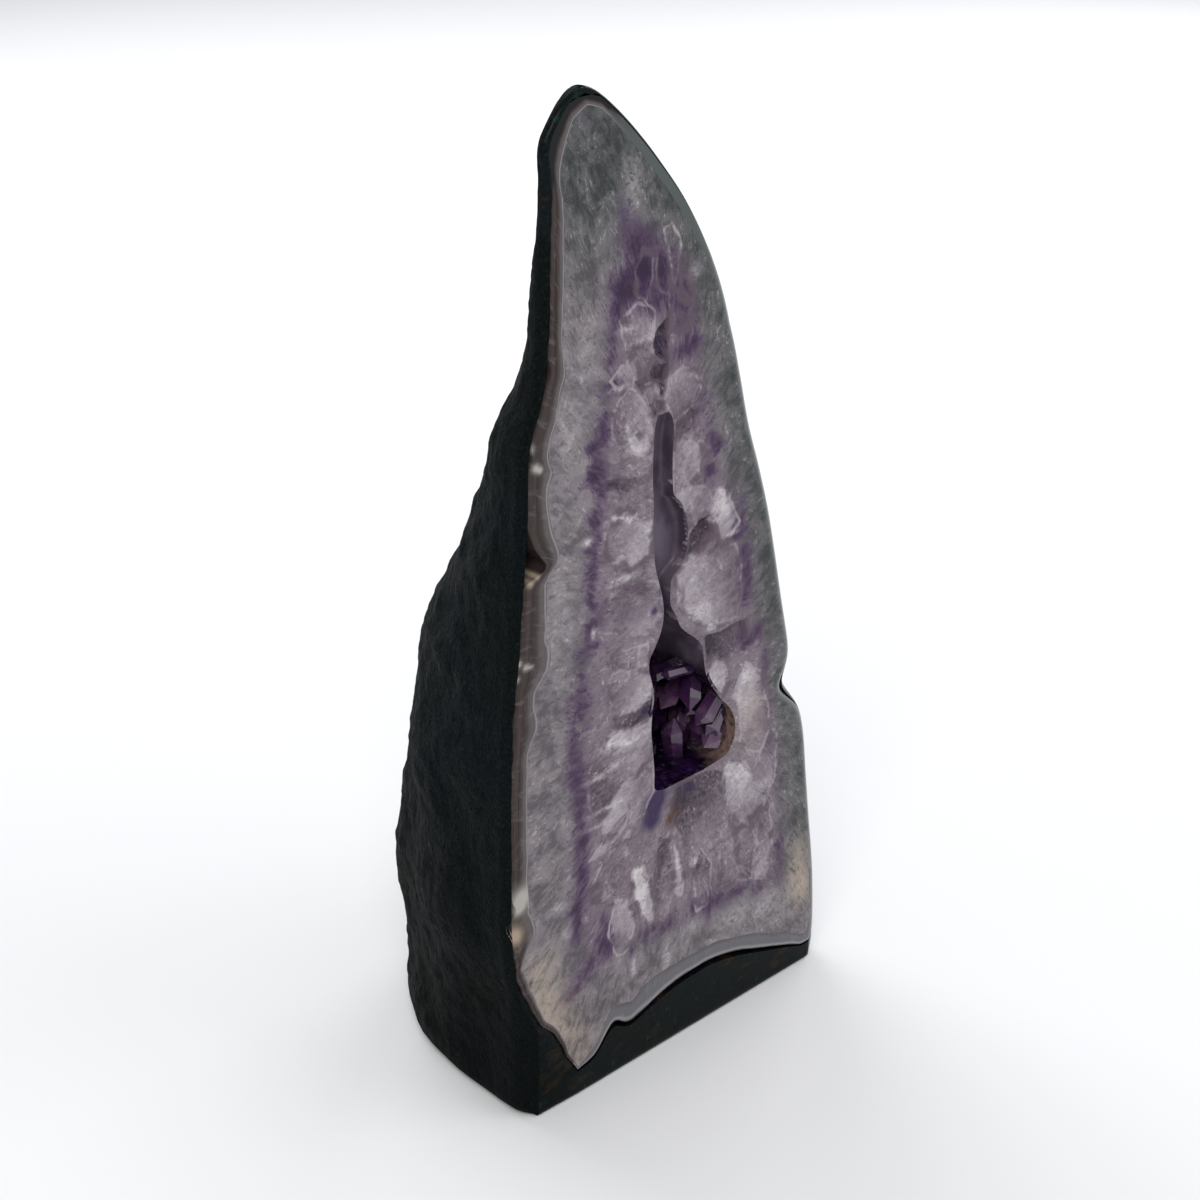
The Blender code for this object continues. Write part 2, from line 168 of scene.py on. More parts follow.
@dataclass(frozen=True)
class StoneForm:
    """Outer form of the whole stone, the same as in its solids."""

    stations: tuple = (
        (-4.5, -5, 129.4, 97),
        (8, -5, 129.8, 96),
        (22, -5, 129.2, 95),
        (36, -6.5, 127.7, 94),
        (50, -9.8, 125.6, 92),
        (66, -11.4, 123.4, 89.5),
        (84, -11.1, 120.8, 85),
        (103, -10.9, 115.6, 79.5),
        (120, -10.1, 111.4, 76),
        (135, -9.2, 107.8, 70),
        (150, -7, 104.4, 61),
        (165, -5.6, 100.7, 53),
        (180, -4, 96, 46),
        (195, -2.8, 90.8, 38.5),
        (211, -2, 86.6, 30),
        (224, 3, 82.9, 23.5),
        (238, 5.3, 77.6, 18),
        (252, 6.1, 70.5, 14),
        (268, 6.2, 59.9, 9.8),
        (282, 6.4, 48, 7),
        (291, 5.6, 39.4, 5.6),
        (297, 8.6, 33, 5.2),
        (302, 13.2, 26.8, 4.8),
        (305, 17.8, 21.8, 4.2),
    )
    foot_corner: tuple = (
        (5.2, 16), (10.5, 12.6), (18, 9.2), (24.6, 4.8), (29.4, 0.6), (38.6, -3.7), (47, -7.4),
        (56, -14),
    )
    foot_rise: tuple = (
        (16, 0), (23.5, 2.2), (31.2, 9.8), (37.8, 6.8), (43, 7.6), (52, 10.4), (62, 12.1),
        (76, 12.2), (88, 9.6), (99, 5.6), (112, 0.8), (120, -2.6),
    )
    middle_x: float = 59.156
    back_roundness: float = 2.4
    foot_level: float = -4.5
    foot_round: float = 5.0
    front_foot_round: float = 1.6
    left_round: tuple = ((10, 8), (34, 6.5), (54, 4))
    right_round: float = 7.0
    rim_share: float = 0.32
    notch_height: float = 102.5
    notch_half: float = 7.5
    notch_depth: float = 7.0
    notch_reach: float = 24.0
    rock_at_rim: float = 1.8
    rock_at_back: float = 11.0
    rock_share: float = 0.42
    layer_foot: float = 5.2
    layer_top: float = 301.5
    rise_fade: float = 34.0
    right_pull: float = 4.0
    right_pull_height: float = 8.0
    lump_scale: float = 34.0
    lump_height: float = 3.2
    lump_shift: tuple = (3.1, 7.7, 1.3)
    pit_scale: float = 19.0
    pit_depth: float = 2.4
    pit_rise: float = 0.25
    pit_shift: tuple = (11.2, 4.4, 8.9)
    ledge_height: float = 172.0
    ledge_depth: float = 1.8
    ledge_width: float = 7.0
    ledge_slant: float = 0.12
    ledge_wave: float = 5.0
    ledge_reach: float = 40.0
    relief_fade: float = 14.0
    thin_depth: float = 6.0
    thin_fade: float = 34.0
    thin_relief: float = 0.25

    def place(self, point: Vector) -> Vector:
        """Frame position, in metres, of a point in the stone's own axes.

        Args:
            point: Point in the stone's own axes, in millimetres.

        Returns:
            Its place in the frame, in metres, kept inside the solids' box.
        """
        low, high = CAD_BOX
        up = point.z - self.foot_level
        moved = Vector(((point.x - self.middle_x) * MM, point.y * MM + low.y, up * MM))
        return Vector(tuple(min(max(moved[i], low[i]), high[i]) for i in range(3)))

    def walls(self, height: float) -> tuple[float, float, float]:
        """Left wall, right wall and depth at a height."""
        return tuple(smooth_value(self.stations, height, column) for column in (1, 2, 3))

    def rounds(self, height: float, depth: float) -> Point:
        """Radii of the left and right rims at a height where the stone has this depth."""
        most = self.rim_share * depth
        return min(smooth_value(self.left_round, height), most), min(self.right_round, most)

    def notch(self, height: float, back: float) -> float:
        """How far the notch cuts into the right wall, at a height and distance back."""
        upright = math.exp(-(((height - self.notch_height) / self.notch_half) ** 2))
        return self.notch_depth * upright * max(1 - back / self.notch_reach, 0.0) ** 2

    def front(self, x: float, height: float) -> float:
        """y of the polished face at a place on it, curving back over both rims and the foot.

        Args:
            x: Place across the face.
            height: Height of the place.

        Returns:
            y of the surface there, 0 where it is flat.
        """
        left, right, depth = self.walls(height)
        right -= self.notch(height, 0.0)
        round_left, round_right = self.rounds(height, depth)
        setback = 0.0
        for inside, radius in ((x - left, round_left), (right - x, round_right)):
            if inside < radius:
                short = radius - max(inside, 0.0)
                setback = max(setback, radius - math.sqrt(radius**2 - short**2))
        above_foot = max(height - self.foot_level, 0.0)
        if above_foot < self.front_foot_round:
            short = self.front_foot_round - above_foot
            setback += self.front_foot_round - math.sqrt(self.front_foot_round**2 - short**2)
        return setback

    def relief(self, point: Vector, distance: float) -> float:
        """Outward height of the rough rock's lumps, pits and ledge, as in its solid.

        Args:
            point: Point of the smooth form.
            distance: Its distance back from the rim of the face.

        Returns:
            How far the rough rock stands out from the smooth form.
        """
        lump = noise.noise(point / self.lump_scale + Vector(self.lump_shift))
        pit = noise.noise(point / self.pit_scale + Vector(self.pit_shift))
        ledge = self.ledge_height + self.ledge_slant * point.y
        ledge += self.ledge_wave * noise.noise(point / self.ledge_reach)
        above = point.z - ledge
        step = -math.tanh(above / self.ledge_width) * math.exp(-((above / self.ledge_reach) ** 2))
        fade = portion(distance, 0, self.relief_fade)
        depth = smooth_value(self.stations, point.z, 3)
        fade_up = portion(depth, self.thin_depth, self.thin_depth + self.thin_fade)
        relief = self.lump_height * lump + self.pit_depth * min(pit, self.pit_rise)
        relief += self.ledge_depth / 2 * step
        return relief * fade * (self.thin_relief + (1 - self.thin_relief) * fade_up)

    def rise(self, x: float, height: float) -> float:
        """How far the layers' lower edge is lifted at x, fading out above the foot."""
        fade = max(1 - max(height - self.layer_foot, 0) / self.rise_fade, 0) ** 2
        return smooth_value(self.foot_rise, x) * fade

    def room_left(self, height: float) -> float:
        """x where the agate starts on the left, at a height."""
        left = smooth_value(self.stations, height, 1) + self.rock_at_rim
        return max(left, smooth_value(self.foot_corner, height))

    def room_right(self, height: float) -> float:
        """x where the agate ends on the right, at a height.

        Args:
            height: Height to read at.

        Returns:
            The x there.
        """
        right = smooth_value(self.stations, height, 2) - self.rock_at_rim
        above = (height - self.layer_foot) / self.right_pull_height
        right -= self.right_pull * max(1 - above, 0) ** 2
        return right - self.notch(height, 0.0)

    def room_depth(self, x: float, height: float, thinner: float) -> float:
        """y of the back of the layers at a place, less a further thickness.

        Args:
            x: Place across the face.
            height: Height of the place.
            thinner: How much less deep the layer ends.

        Returns:
            The y there.
        """
        left, right, depth = self.walls(height)
        depth -= min(self.rock_at_back, self.rock_share * depth)
        depth = max(depth - min(thinner, 0.3 * depth), 1.0)
        across = min(abs(2 * x - left - right) / (right - left - 2 * self.rock_at_rim), 0.999)
        return max(depth * (1 - across**2.5) ** (1 / 2.5), 0.6)


FORM = StoneForm()


class Sketch:
    """Short calls for drawing one shader or group tree."""

    def __init__(self, tree: bpy.types.NodeTree) -> None:
        """Start on a tree.

        Args:
            tree: The node tree to draw in.
        """
        self.tree = tree

    def add(self, kind: str, **settings: object) -> bpy.types.Node:
        """Add a node of a kind and set its properties.

        Args:
            kind: Type of the node.
            **settings: Properties and their values.

        Returns:
            The node.
        """
        node = self.tree.nodes.new(kind)
        for name, value in settings.items():
            setattr(node, name, value)
        return node

    def feed(self, socket: bpy.types.NodeSocket, value: object) -> None:
        """Give a socket a link or a plain value.

        Args:
            socket: Input to feed.
            value: An output to link, a plain value, or None to leave it.
        """
        if isinstance(value, bpy.types.NodeSocket):
            self.tree.links.new(value, socket)
        elif isinstance(value, tuple) and len(value) == 3 and socket.type == "RGBA":
            socket.default_value = (*value, 1.0)
        elif value is not None:
            socket.default_value = value

    def math(
        self, operation: str, a: object, b: object = None, c: object = None, clamp: bool = False
    ) -> bpy.types.NodeSocket:
        """Math node on up to three values.

        Args:
            operation: Name of the operation.
            a: First value.
            b: Second value, if it has one.
            c: Third value, if it has one.
            clamp: Whether the result is kept between 0 and 1.

        Returns:
            The result.
        """
        node = self.add("ShaderNodeMath", operation=operation, use_clamp=clamp)
        for socket, value in zip(node.inputs, (a, b, c)):
            self.feed(socket, value)
        return node.outputs[0]

    def times(self, a: object, b: object) -> bpy.types.NodeSocket:
        """Product of two values."""
        return self.math("MULTIPLY", a, b)

    def around(self, swing: object, strength: float, base: object) -> bpy.types.NodeSocket:
        """Base plus a strength times the swing of a noise about its middle, one half."""
        return self.math("MULTIPLY_ADD", self.math("SUBTRACT", swing, 0.5), strength, base)

    def step(self, value: object, low: float, high: float) -> bpy.types.NodeSocket:
        """Smooth step of a value from 0 at low to 1 at high.

        Args:
            value: Value to read.
            low: Where the step starts.
            high: Where it ends; below low, the step falls.

        Returns:
            The result.
        """
        node = self.add("ShaderNodeMapRange", interpolation_type="SMOOTHSTEP")
        for name, given in (("Value", value), ("From Min", low), ("From Max", high)):
            self.feed(node.inputs[name], given)
        return node.outputs["Result"]

    def mix(self, amount: object, a: object, b: object, blend: str = "MIX") -> bpy.types.NodeSocket:
        """Colour mix.

        Args:
            amount: Share of the second colour.
            a: First colour.
            b: Second colour.
            blend: How they are mixed.

        Returns:
            The colour.
        """
        node = self.add("ShaderNodeMix", data_type="RGBA", blend_type=blend)
        self.feed(node.inputs["Factor"], amount)
        self.feed(node.inputs[6], a)
        self.feed(node.inputs[7], b)
        return node.outputs[2]

    def scaled(self, vector: object, x: float, y: float, z: float) -> bpy.types.NodeSocket:
        """Vector multiplied along its axes.

        Args:
            vector: Vector to scale.
            x: Factor along x.
            y: Factor along y.
            z: Factor along z.

        Returns:
            The scaled vector.
        """
        node = self.add("ShaderNodeVectorMath", operation="MULTIPLY")
        self.feed(node.inputs[0], vector)
        node.inputs[1].default_value = (x, y, z)
        return node.outputs[0]

    def noise(
        self, vector: object, scale: float, detail: float = 3.0, rough: float = 0.5, bend: float = 0.0
    ) -> bpy.types.NodeSocket:
        """Noise value from 0 to 1.

        Args:
            vector: Place to read.
            scale: Size of the noise.
            detail: Number of finer layers.
            rough: Strength of the finer layers.
            bend: How much the noise is distorted.

        Returns:
            The value.
        """
        node = self.add("ShaderNodeTexNoise")
        self.feed(node.inputs["Vector"], vector)
        for name, value in (
            ("Scale", scale), ("Detail", detail), ("Roughness", rough), ("Distortion", bend)
        ):
            self.feed(node.inputs[name], value)
        return node.outputs[0]

    def cells(
        self, vector: object, scale: float, feature: str = "F1", output: str = "Distance"
    ) -> bpy.types.NodeSocket:
        """Voronoi cells: distance or colour.

        Args:
            vector: Place to read.
            scale: Size of the cells.
            feature: What is measured.
            output: Which output is read.

        Returns:
            The output.
        """
        node = self.add("ShaderNodeTexVoronoi", feature=feature)
        self.feed(node.inputs["Vector"], vector)
        self.feed(node.inputs["Scale"], scale)
        return node.outputs[output]

    def ramp(self, value: object, stops: tuple) -> bpy.types.NodeSocket:
        """Colour ramp from (position, colour) stops.

        Args:
            value: Place on the ramp.
            stops: Position and colour of each stop.

        Returns:
            The colour.
        """
        node = self.add("ShaderNodeValToRGB")
        band = node.color_ramp
        while len(band.elements) < len(stops):
            band.elements.new(1.0)
        for element, (position, colour) in zip(band.elements, stops):
            element.position = position
            element.color = (*colour, 1.0)
        self.feed(node.inputs[0], value)
        return node.outputs[0]

    def attribute(self, name: str) -> bpy.types.NodeSocket:
        """Number stored on the mesh under a name."""
        return self.add("ShaderNodeAttribute", attribute_name=name).outputs["Fac"]

    def object_mm(self) -> bpy.types.NodeSocket:
        """Object coordinates in millimetres."""
        coordinates = self.add("ShaderNodeTexCoord").outputs["Object"]
        return self.scaled(coordinates, 1000, 1000, 1000)

    def growth_mm(self) -> bpy.types.NodeSocket:
        """Growth map in millimetres: along the rim, then inwards from it."""
        node = self.add("ShaderNodeUVMap", uv_map="growth")
        return self.scaled(node.outputs[0], 100, 100, 0)

    def group(self, tree: bpy.types.NodeTree, **values: object) -> bpy.types.Node:
        """Place a group and feed its named inputs.

        Args:
            tree: The group.
            **values: Its inputs, with _ for each space.

        Returns:
            The group's node.
        """
        node = self.add("ShaderNodeGroup", node_tree=tree)
        for name, value in values.items():
            self.feed(node.inputs[name.replace("_", " ")], value)
        return node

    def bump(self, height: object, strength: float, distance: float) -> bpy.types.NodeSocket:
        """Normal from a height.

        Args:
            height: Height of the relief.
            strength: Share of the effect.
            distance: Real height of the relief in metres.

        Returns:
            The normal.
        """
        node = self.add("ShaderNodeBump")
        node.inputs["Strength"].default_value = strength
        node.inputs["Distance"].default_value = distance
        self.feed(node.inputs["Height"], height)
        return node.outputs[0]


def new_group(name: str, inputs: tuple, outputs: tuple) -> tuple:
    """Empty shader group with sockets.

    Args:
        name: Name of the group.
        inputs: (name, socket type, default or None) of each input.
        outputs: (name, socket type) of each output.

    Returns:
        The tree, a sketch on it, its input node and its output node.
    """
    tree = bpy.data.node_groups.new(name, "ShaderNodeTree")
    for title, kind, default in inputs:
        socket = tree.interface.new_socket(title, in_out="INPUT", socket_type=kind)
        if default is not None:
            socket.default_value = default
    for title, kind in outputs:
        tree.interface.new_socket(title, in_out="OUTPUT", socket_type=kind)
    draw = Sketch(tree)
    return tree, draw, draw.add("NodeGroupInput"), draw.add("NodeGroupOutput")


def growth_fibre_group() -> bpy.types.NodeTree:
    """Fibres and flecks that run inwards from the rim, for the layers that grew from it.

    Returns:
        The group.
    """
    tree, draw, given, made = new_group(
        "growth_fibres",
        (
            ("Growth", "NodeSocketVector", None),
            ("Fibre Width", "NodeSocketFloat", 1.2),
            ("Fibre Length", "NodeSocketFloat", 7.0),
        ),
        (("Fibre", "NodeSocketFloat"), ("Fleck", "NodeSocketFloat"), ("Warp", "NodeSocketFloat")),
    )
    split = draw.add("ShaderNodeSeparateXYZ")
    draw.feed(split.inputs[0], given.outputs["Growth"])
    sway = draw.noise(draw.scaled(given.outputs["Growth"], 0.05, 0.05, 0), 1.0, 2.0)
    along = draw.math("MULTIPLY_ADD", sway, 14.0, split.outputs[0])
    across = draw.math("DIVIDE", along, given.outputs["Fibre Width"])
    inwards = draw.math("DIVIDE", split.outputs[1], given.outputs["Fibre Length"])
    joined = draw.add("ShaderNodeCombineXYZ")
    draw.feed(joined.inputs[0], across)
    draw.feed(joined.inputs[1], inwards)
    fibre = draw.noise(joined.outputs[0], 1.0, 4.0, 0.55, 0.5)
    flecked = draw.noise(draw.scaled(joined.outputs[0], 1.1, 1.7, 1.0), 1.0, 3.0, 0.62, 0.7)
    warp = draw.noise(draw.scaled(joined.outputs[0], 0.5, 0.35, 1.0), 1.0, 4.0, 0.6)
    draw.feed(made.inputs["Fibre"], fibre)
    draw.feed(made.inputs["Fleck"], draw.step(flecked, 0.5, 0.68))
    draw.feed(made.inputs["Warp"], warp)
    return tree


def rock_grain_group() -> bpy.types.NodeTree:
    """Grain of the host rock: a slow colour drift, fine grains and their height.

    Returns:
        The group.
    """
    tree, draw, given, made = new_group(
        "rock_grain",
        (("Position", "NodeSocketVector", None), ("Grain", "NodeSocketFloat", 1.0)),
        (("Drift", "NodeSocketFloat"), ("Grains", "NodeSocketFloat"), ("Height", "NodeSocketFloat")),
    )
    position = given.outputs["Position"]
    drift = draw.noise(draw.scaled(position, 0.028, 0.028, 0.02), 1.0, 3.0, 0.55)
    fine = draw.noise(position, given.outputs["Grain"], 5.0, 0.7)
    coarse = draw.noise(draw.scaled(position, 0.32, 0.32, 0.22), 1.0, 4.0, 0.6)
    pores = draw.cells(draw.scaled(position, 0.55, 0.55, 0.42), 1.0)
    height = draw.math("MULTIPLY_ADD", coarse, 1.3, draw.times(fine, 0.55))
    height = draw.math("MULTIPLY_ADD", draw.step(pores, 0.0, 0.45), 0.5, height)
    draw.feed(made.inputs["Drift"], drift)
    draw.feed(made.inputs["Grains"], fine)
    pits = draw.cells(draw.scaled(position, 0.2, 0.2, 0.15), 1.0, "SMOOTH_F1")
    height = draw.math("MULTIPLY_ADD", draw.step(pits, 0.05, 0.5), 0.8, height)
    draw.feed(made.inputs["Height"], height)
    return tree


@dataclass(frozen=True)
class Finish:
    """Base of the finishes: a named material with one Principled shader."""

    name: str

    def start(self) -> tuple[bpy.types.Material, Sketch, bpy.types.Node]:
        """New material, a sketch on its tree and its shader.

        Returns:
            The material, the sketch and the shader.
        """
        material = bpy.data.materials.new(self.name)
        material.use_nodes = True
        draw = Sketch(material.node_tree)
        return material, draw, material.node_tree.nodes["Principled BSDF"]


@dataclass(frozen=True)
class RockFinish(Finish):
    """Dark green-black host rock, rough where it grew and glossy where it was polished."""

    dark: Colour = srgb(5, 8, 8)
    mid: Colour = srgb(13, 20, 19)
    light: Colour = srgb(42, 53, 48)
    blue: Colour = srgb(11, 20, 24)
    rust: Colour = srgb(44, 31, 20)
    teal: Colour = srgb(22, 46, 44)

    def material(self, grain: bpy.types.NodeTree, polish: Polish) -> bpy.types.Material:
        """Material of the rock.

        Args:
            grain: The rock grain group.
            polish: Whether the surface is rough or polished.

        Returns:
            The material.
        """
        material, draw, shader = self.start()
        position = draw.object_mm()
        rock = draw.group(grain, Position=position, Grain=1.15)
        colour = draw.mix(draw.step(rock.outputs["Drift"], 0.36, 0.66), self.mid, self.blue)
        grains = rock.outputs["Grains"]
        colour = draw.mix(draw.times(draw.step(grains, 0.52, 0.36), 0.8), colour, self.dark)
        specks = draw.times(draw.step(grains, 0.56, 0.72), 0.75)
        colour = draw.mix(specks, colour, self.light)
        split = draw.add("ShaderNodeSeparateXYZ")
        draw.feed(split.inputs[0], position)
        low = draw.step(split.outputs[2], 130.0, 10.0)
        colour = draw.mix(draw.times(low, 0.55), colour, self.dark)
        if polish is Polish.POLISHED:
            stain = draw.noise(draw.scaled(position, 0.09, 0.09, 0.2), 1.0, 4.0, 0.6)
            colour = draw.mix(draw.times(draw.step(stain, 0.56, 0.74), 0.7), colour, self.rust)
            cold = draw.noise(draw.scaled(position, 0.3, 0.3, 0.22), 1.0, 4.0, 0.65)
            colour = draw.mix(draw.times(draw.step(cold, 0.6, 0.72), 0.7), colour, self.teal)
            draw.feed(shader.inputs["Roughness"], draw.math("MULTIPLY_ADD", grains, 0.16, 0.14))
            draw.feed(shader.inputs["Normal"], draw.bump(rock.outputs["Height"], 0.08, 0.0006))
        else:
            rough = draw.math("MULTIPLY_ADD", grains, -0.35, 0.86)
            draw.feed(shader.inputs["Roughness"], rough)
            draw.feed(shader.inputs["Normal"], draw.bump(rock.outputs["Height"], 1.0, 0.0022))
        draw.feed(shader.inputs["Base Color"], colour)
        shader.inputs["Specular IOR Level"].default_value = 0.06
        return material


@dataclass(frozen=True)
class AgateFinish(Finish):
    """Banded agate: brown against the rock, grey inwards, one pale line at its inner edge."""

    outer: Colour = srgb(36, 28, 26)
    brown: Colour = srgb(60, 49, 46)
    grey: Colour = srgb(86, 80, 80)
    line: Colour = srgb(138, 134, 138)
    cool: Colour = srgb(98, 97, 102)
    cream: Colour = srgb(168, 150, 132)
    black: Colour = srgb(20, 22, 23)
    smoke: Colour = srgb(78, 83, 83)
    chip: Colour = srgb(176, 172, 166)

    def material(self, fibres: bpy.types.NodeTree) -> bpy.types.Material:
        """Material of the agate.

        Args:
            fibres: The growth fibre group.

        Returns:
            The material.
        """
        material, draw, shader = self.start()
        growth = draw.growth_mm()
        layer = draw.attribute("layer")
        wobble = draw.noise(draw.scaled(growth, 0.09, 0.09, 0), 1.0, 3.0)
        across = draw.around(wobble, 0.28, layer)
        bands = draw.ramp(
            across,
            (
                (0.0, self.outer), (0.2, self.brown), (0.38, self.outer), (0.56, self.brown),
                (0.74, self.grey), (0.87, self.grey), (0.94, self.line), (1.0, self.grey),
            ),
        )
        fine = draw.noise(draw.scaled(growth, 0.02, 2.4, 0), 1.0, 3.0, 0.6)
        bands = draw.mix(draw.times(draw.step(fine, 0.35, 0.7), 0.3), bands, self.grey)
        cool_bands = draw.ramp(
            across,
            ((0.0, self.brown), (0.12, self.line), (0.3, self.cool), (0.7, self.cool), (1.0, self.grey)),
        )
        colour = draw.mix(draw.attribute("cool"), bands, cool_bands)
        fibre = draw.group(fibres, Growth=growth, Fibre_Width=2.2, Fibre_Length=5.0)
        cloud = draw.times(draw.step(fibre.outputs["Fibre"], 0.5, 0.75), 0.22)
        colour = draw.mix(cloud, colour, self.line)
        colour = draw.mix(draw.attribute("veiled"), colour, self.smoke)
        dark = draw.around(wobble, 0.5, draw.attribute("dark"))
        colour = draw.mix(draw.step(dark, 0.3, 0.6), colour, self.black)
        # Cream spots: nodules, and a painted glint beside the bite of the rock into the rim.
        colour = draw.mix(draw.attribute("nodule_and_glint"), colour, self.cream)
        colour = draw.mix(draw.attribute("chip"), colour, self.chip)
        draw.feed(shader.inputs["Base Color"], colour)
        draw.feed(shader.inputs["Roughness"], draw.math("MULTIPLY_ADD", wobble, 0.1, 0.08))
        shader.inputs["Specular IOR Level"].default_value = 0.14
        return material


@dataclass(frozen=True)
class QuartzFinish(Finish):
    """Polished quartz: fibrous grey and white, then a purple zone, then pale amethyst crystals."""

    shade: Colour = srgb(84, 80, 84)
    body: Colour = srgb(124, 117, 121)
    white: Colour = srgb(196, 190, 192)
    # The two smoke greys darken the outer quartz where the smoke field is set: painted shade near the
    # right rim, and a darker grey towards the top.
    smoke_dark: Colour = srgb(44, 48, 48)
    smoke: Colour = srgb(86, 87, 87)
    violet_deep: Colour = srgb(40, 24, 48)
    violet: Colour = srgb(72, 50, 79)
    vivid: Colour = srgb(38, 15, 62)
    # Darkest tone: painted shade in the pits of the sunk crystals, and dark crystal and cracks elsewhere.
    pit_shade_and_dark_tone: Colour = srgb(46, 36, 46)
    mauve: Colour = srgb(86, 73, 84)
    lavender: Colour = srgb(120, 109, 118)
    pale: Colour = srgb(156, 147, 153)
    cream: Colour = srgb(166, 152, 136)
    rust: Colour = srgb(74, 44, 18)

    def material(self, fibres: bpy.types.NodeTree) -> bpy.types.Material:
        """Material of the quartz and the amethyst grown into it.

        Args:
            fibres: The growth fibre group.

        Returns:
            The material.
        """
        material, draw, shader = self.start()
        growth = draw.growth_mm()
        position = draw.object_mm()
        fibre = draw.group(fibres, Growth=growth, Fibre_Width=2.4, Fibre_Length=4.6)
        strand, warp = fibre.outputs["Fibre"], fibre.outputs["Warp"]
        veil = draw.noise(draw.scaled(position, 0.11, 0.11, 0.13), 1.0, 5.0, 0.62, 0.6)
        fine = draw.noise(draw.scaled(position, 0.55, 0.55, 0.75), 1.0, 5.0, 0.68, 0.8)
        grain = draw.noise(draw.scaled(position, 1.7, 1.7, 2.3), 1.0, 3.0, 0.6, 0.5)

        cloud = draw.math("MULTIPLY_ADD", strand, 0.45, draw.times(veil, 0.55))
        cloud = draw.around(grain, 0.22, cloud)
        outer = draw.mix(draw.step(cloud, 0.38, 0.6), self.shade, self.body)
        # Painted shade: the outer quartz takes the smoke greys near the right rim, where the face curves
        # away, and turns darker grey towards the top.
        smoke = draw.mix(draw.step(cloud, 0.36, 0.62), self.smoke_dark, self.smoke)
        outer = draw.mix(draw.attribute("smoke"), outer, smoke)
        flecks = draw.times(fibre.outputs["Fleck"], draw.step(veil, 0.4, 0.6))
        flecks = draw.times(flecks, draw.step(fine, 0.4, 0.62))
        outer = draw.mix(draw.times(flecks, 0.45), outer, self.white)

        tone = draw.around(veil, 0.55, draw.attribute("tone"))
        tone = draw.around(fine, 0.7, tone)
        tone = draw.around(strand, 0.5, tone)
        # Low tones run to the darkest colour, which paints shade where sunk crystals are given low tones.
        inner = draw.ramp(
            tone,
            (
                (0.0, self.pit_shade_and_dark_tone), (0.22, self.mauve), (0.5, self.lavender), (0.8, self.pale),
                (1.0, self.white),
            ),
        )
        inner = draw.mix(draw.times(flecks, 0.5), inner, self.white)

        band = draw.attribute("band")
        bent = draw.around(warp, 0.7, band)
        colour = draw.mix(draw.step(bent, 0.1, -0.35), outer, inner)

        patchy = draw.around(fine, 1.3, draw.attribute("purple"))
        patchy = draw.around(warp, 0.8, patchy)
        patchy = draw.around(strand, 1.8, patchy)
        purple = draw.mix(draw.step(patchy, 0.6, 1.5), self.violet, self.violet_deep)
        halo = draw.times(draw.step(patchy, 0.1, 0.6), 0.4)
        colour = draw.mix(halo, colour, self.violet)
        amount = draw.times(draw.step(patchy, 0.3, 0.95), 0.94)
        colour = draw.mix(amount, colour, purple)
        vivid = draw.around(fine, 0.6, draw.attribute("violet"))
        colour = draw.mix(draw.times(draw.step(vivid, 0.05, 0.8), 0.92), colour, self.vivid)

        # Painted highlight and shadow at the crystal boundaries: a pale line where light reflects inside
        # along each seam, and a darker mauve band beside it.
        seam = draw.around(fine, 0.5, draw.attribute("seam"))
        edge = draw.times(draw.step(seam, 0.75, 0.1), draw.attribute("edge"))
        colour = draw.mix(draw.times(edge, draw.step(veil, 0.38, 0.6)), colour, self.pale)
        gap = draw.times(draw.step(seam, 1.5, 0.5), draw.step(veil, 0.56, 0.4))
        colour = draw.mix(draw.times(gap, 0.8), colour, self.mauve)
        # White spots: veils and clouds, one of them a painted glint.
        white = draw.times(draw.attribute("white"), draw.step(fine, 0.3, 0.6))
        colour = draw.mix(white, colour, self.white)
        warm = draw.times(draw.attribute("warm"), draw.step(cloud, 0.3, 0.6))
        colour = draw.mix(warm, colour, self.cream)
        colour = draw.mix(draw.attribute("rust"), colour, self.rust)
        draw.feed(shader.inputs["Base Color"], colour)

        height = draw.math("MULTIPLY_ADD", strand, 0.4, veil)
        open_face = draw.attribute("open")
        rough = draw.times(fine, draw.times(open_face, 4.0))
        height = draw.math("ADD", height, rough)
        draw.feed(shader.inputs["Normal"], draw.bump(height, 0.16, 0.0007))
        draw.feed(shader.inputs["Roughness"], draw.math("MULTIPLY_ADD", open_face, 0.22, 0.1))
        shader.inputs["IOR"].default_value = 1.54
        shader.inputs["Specular IOR Level"].default_value = 0.14
        return material


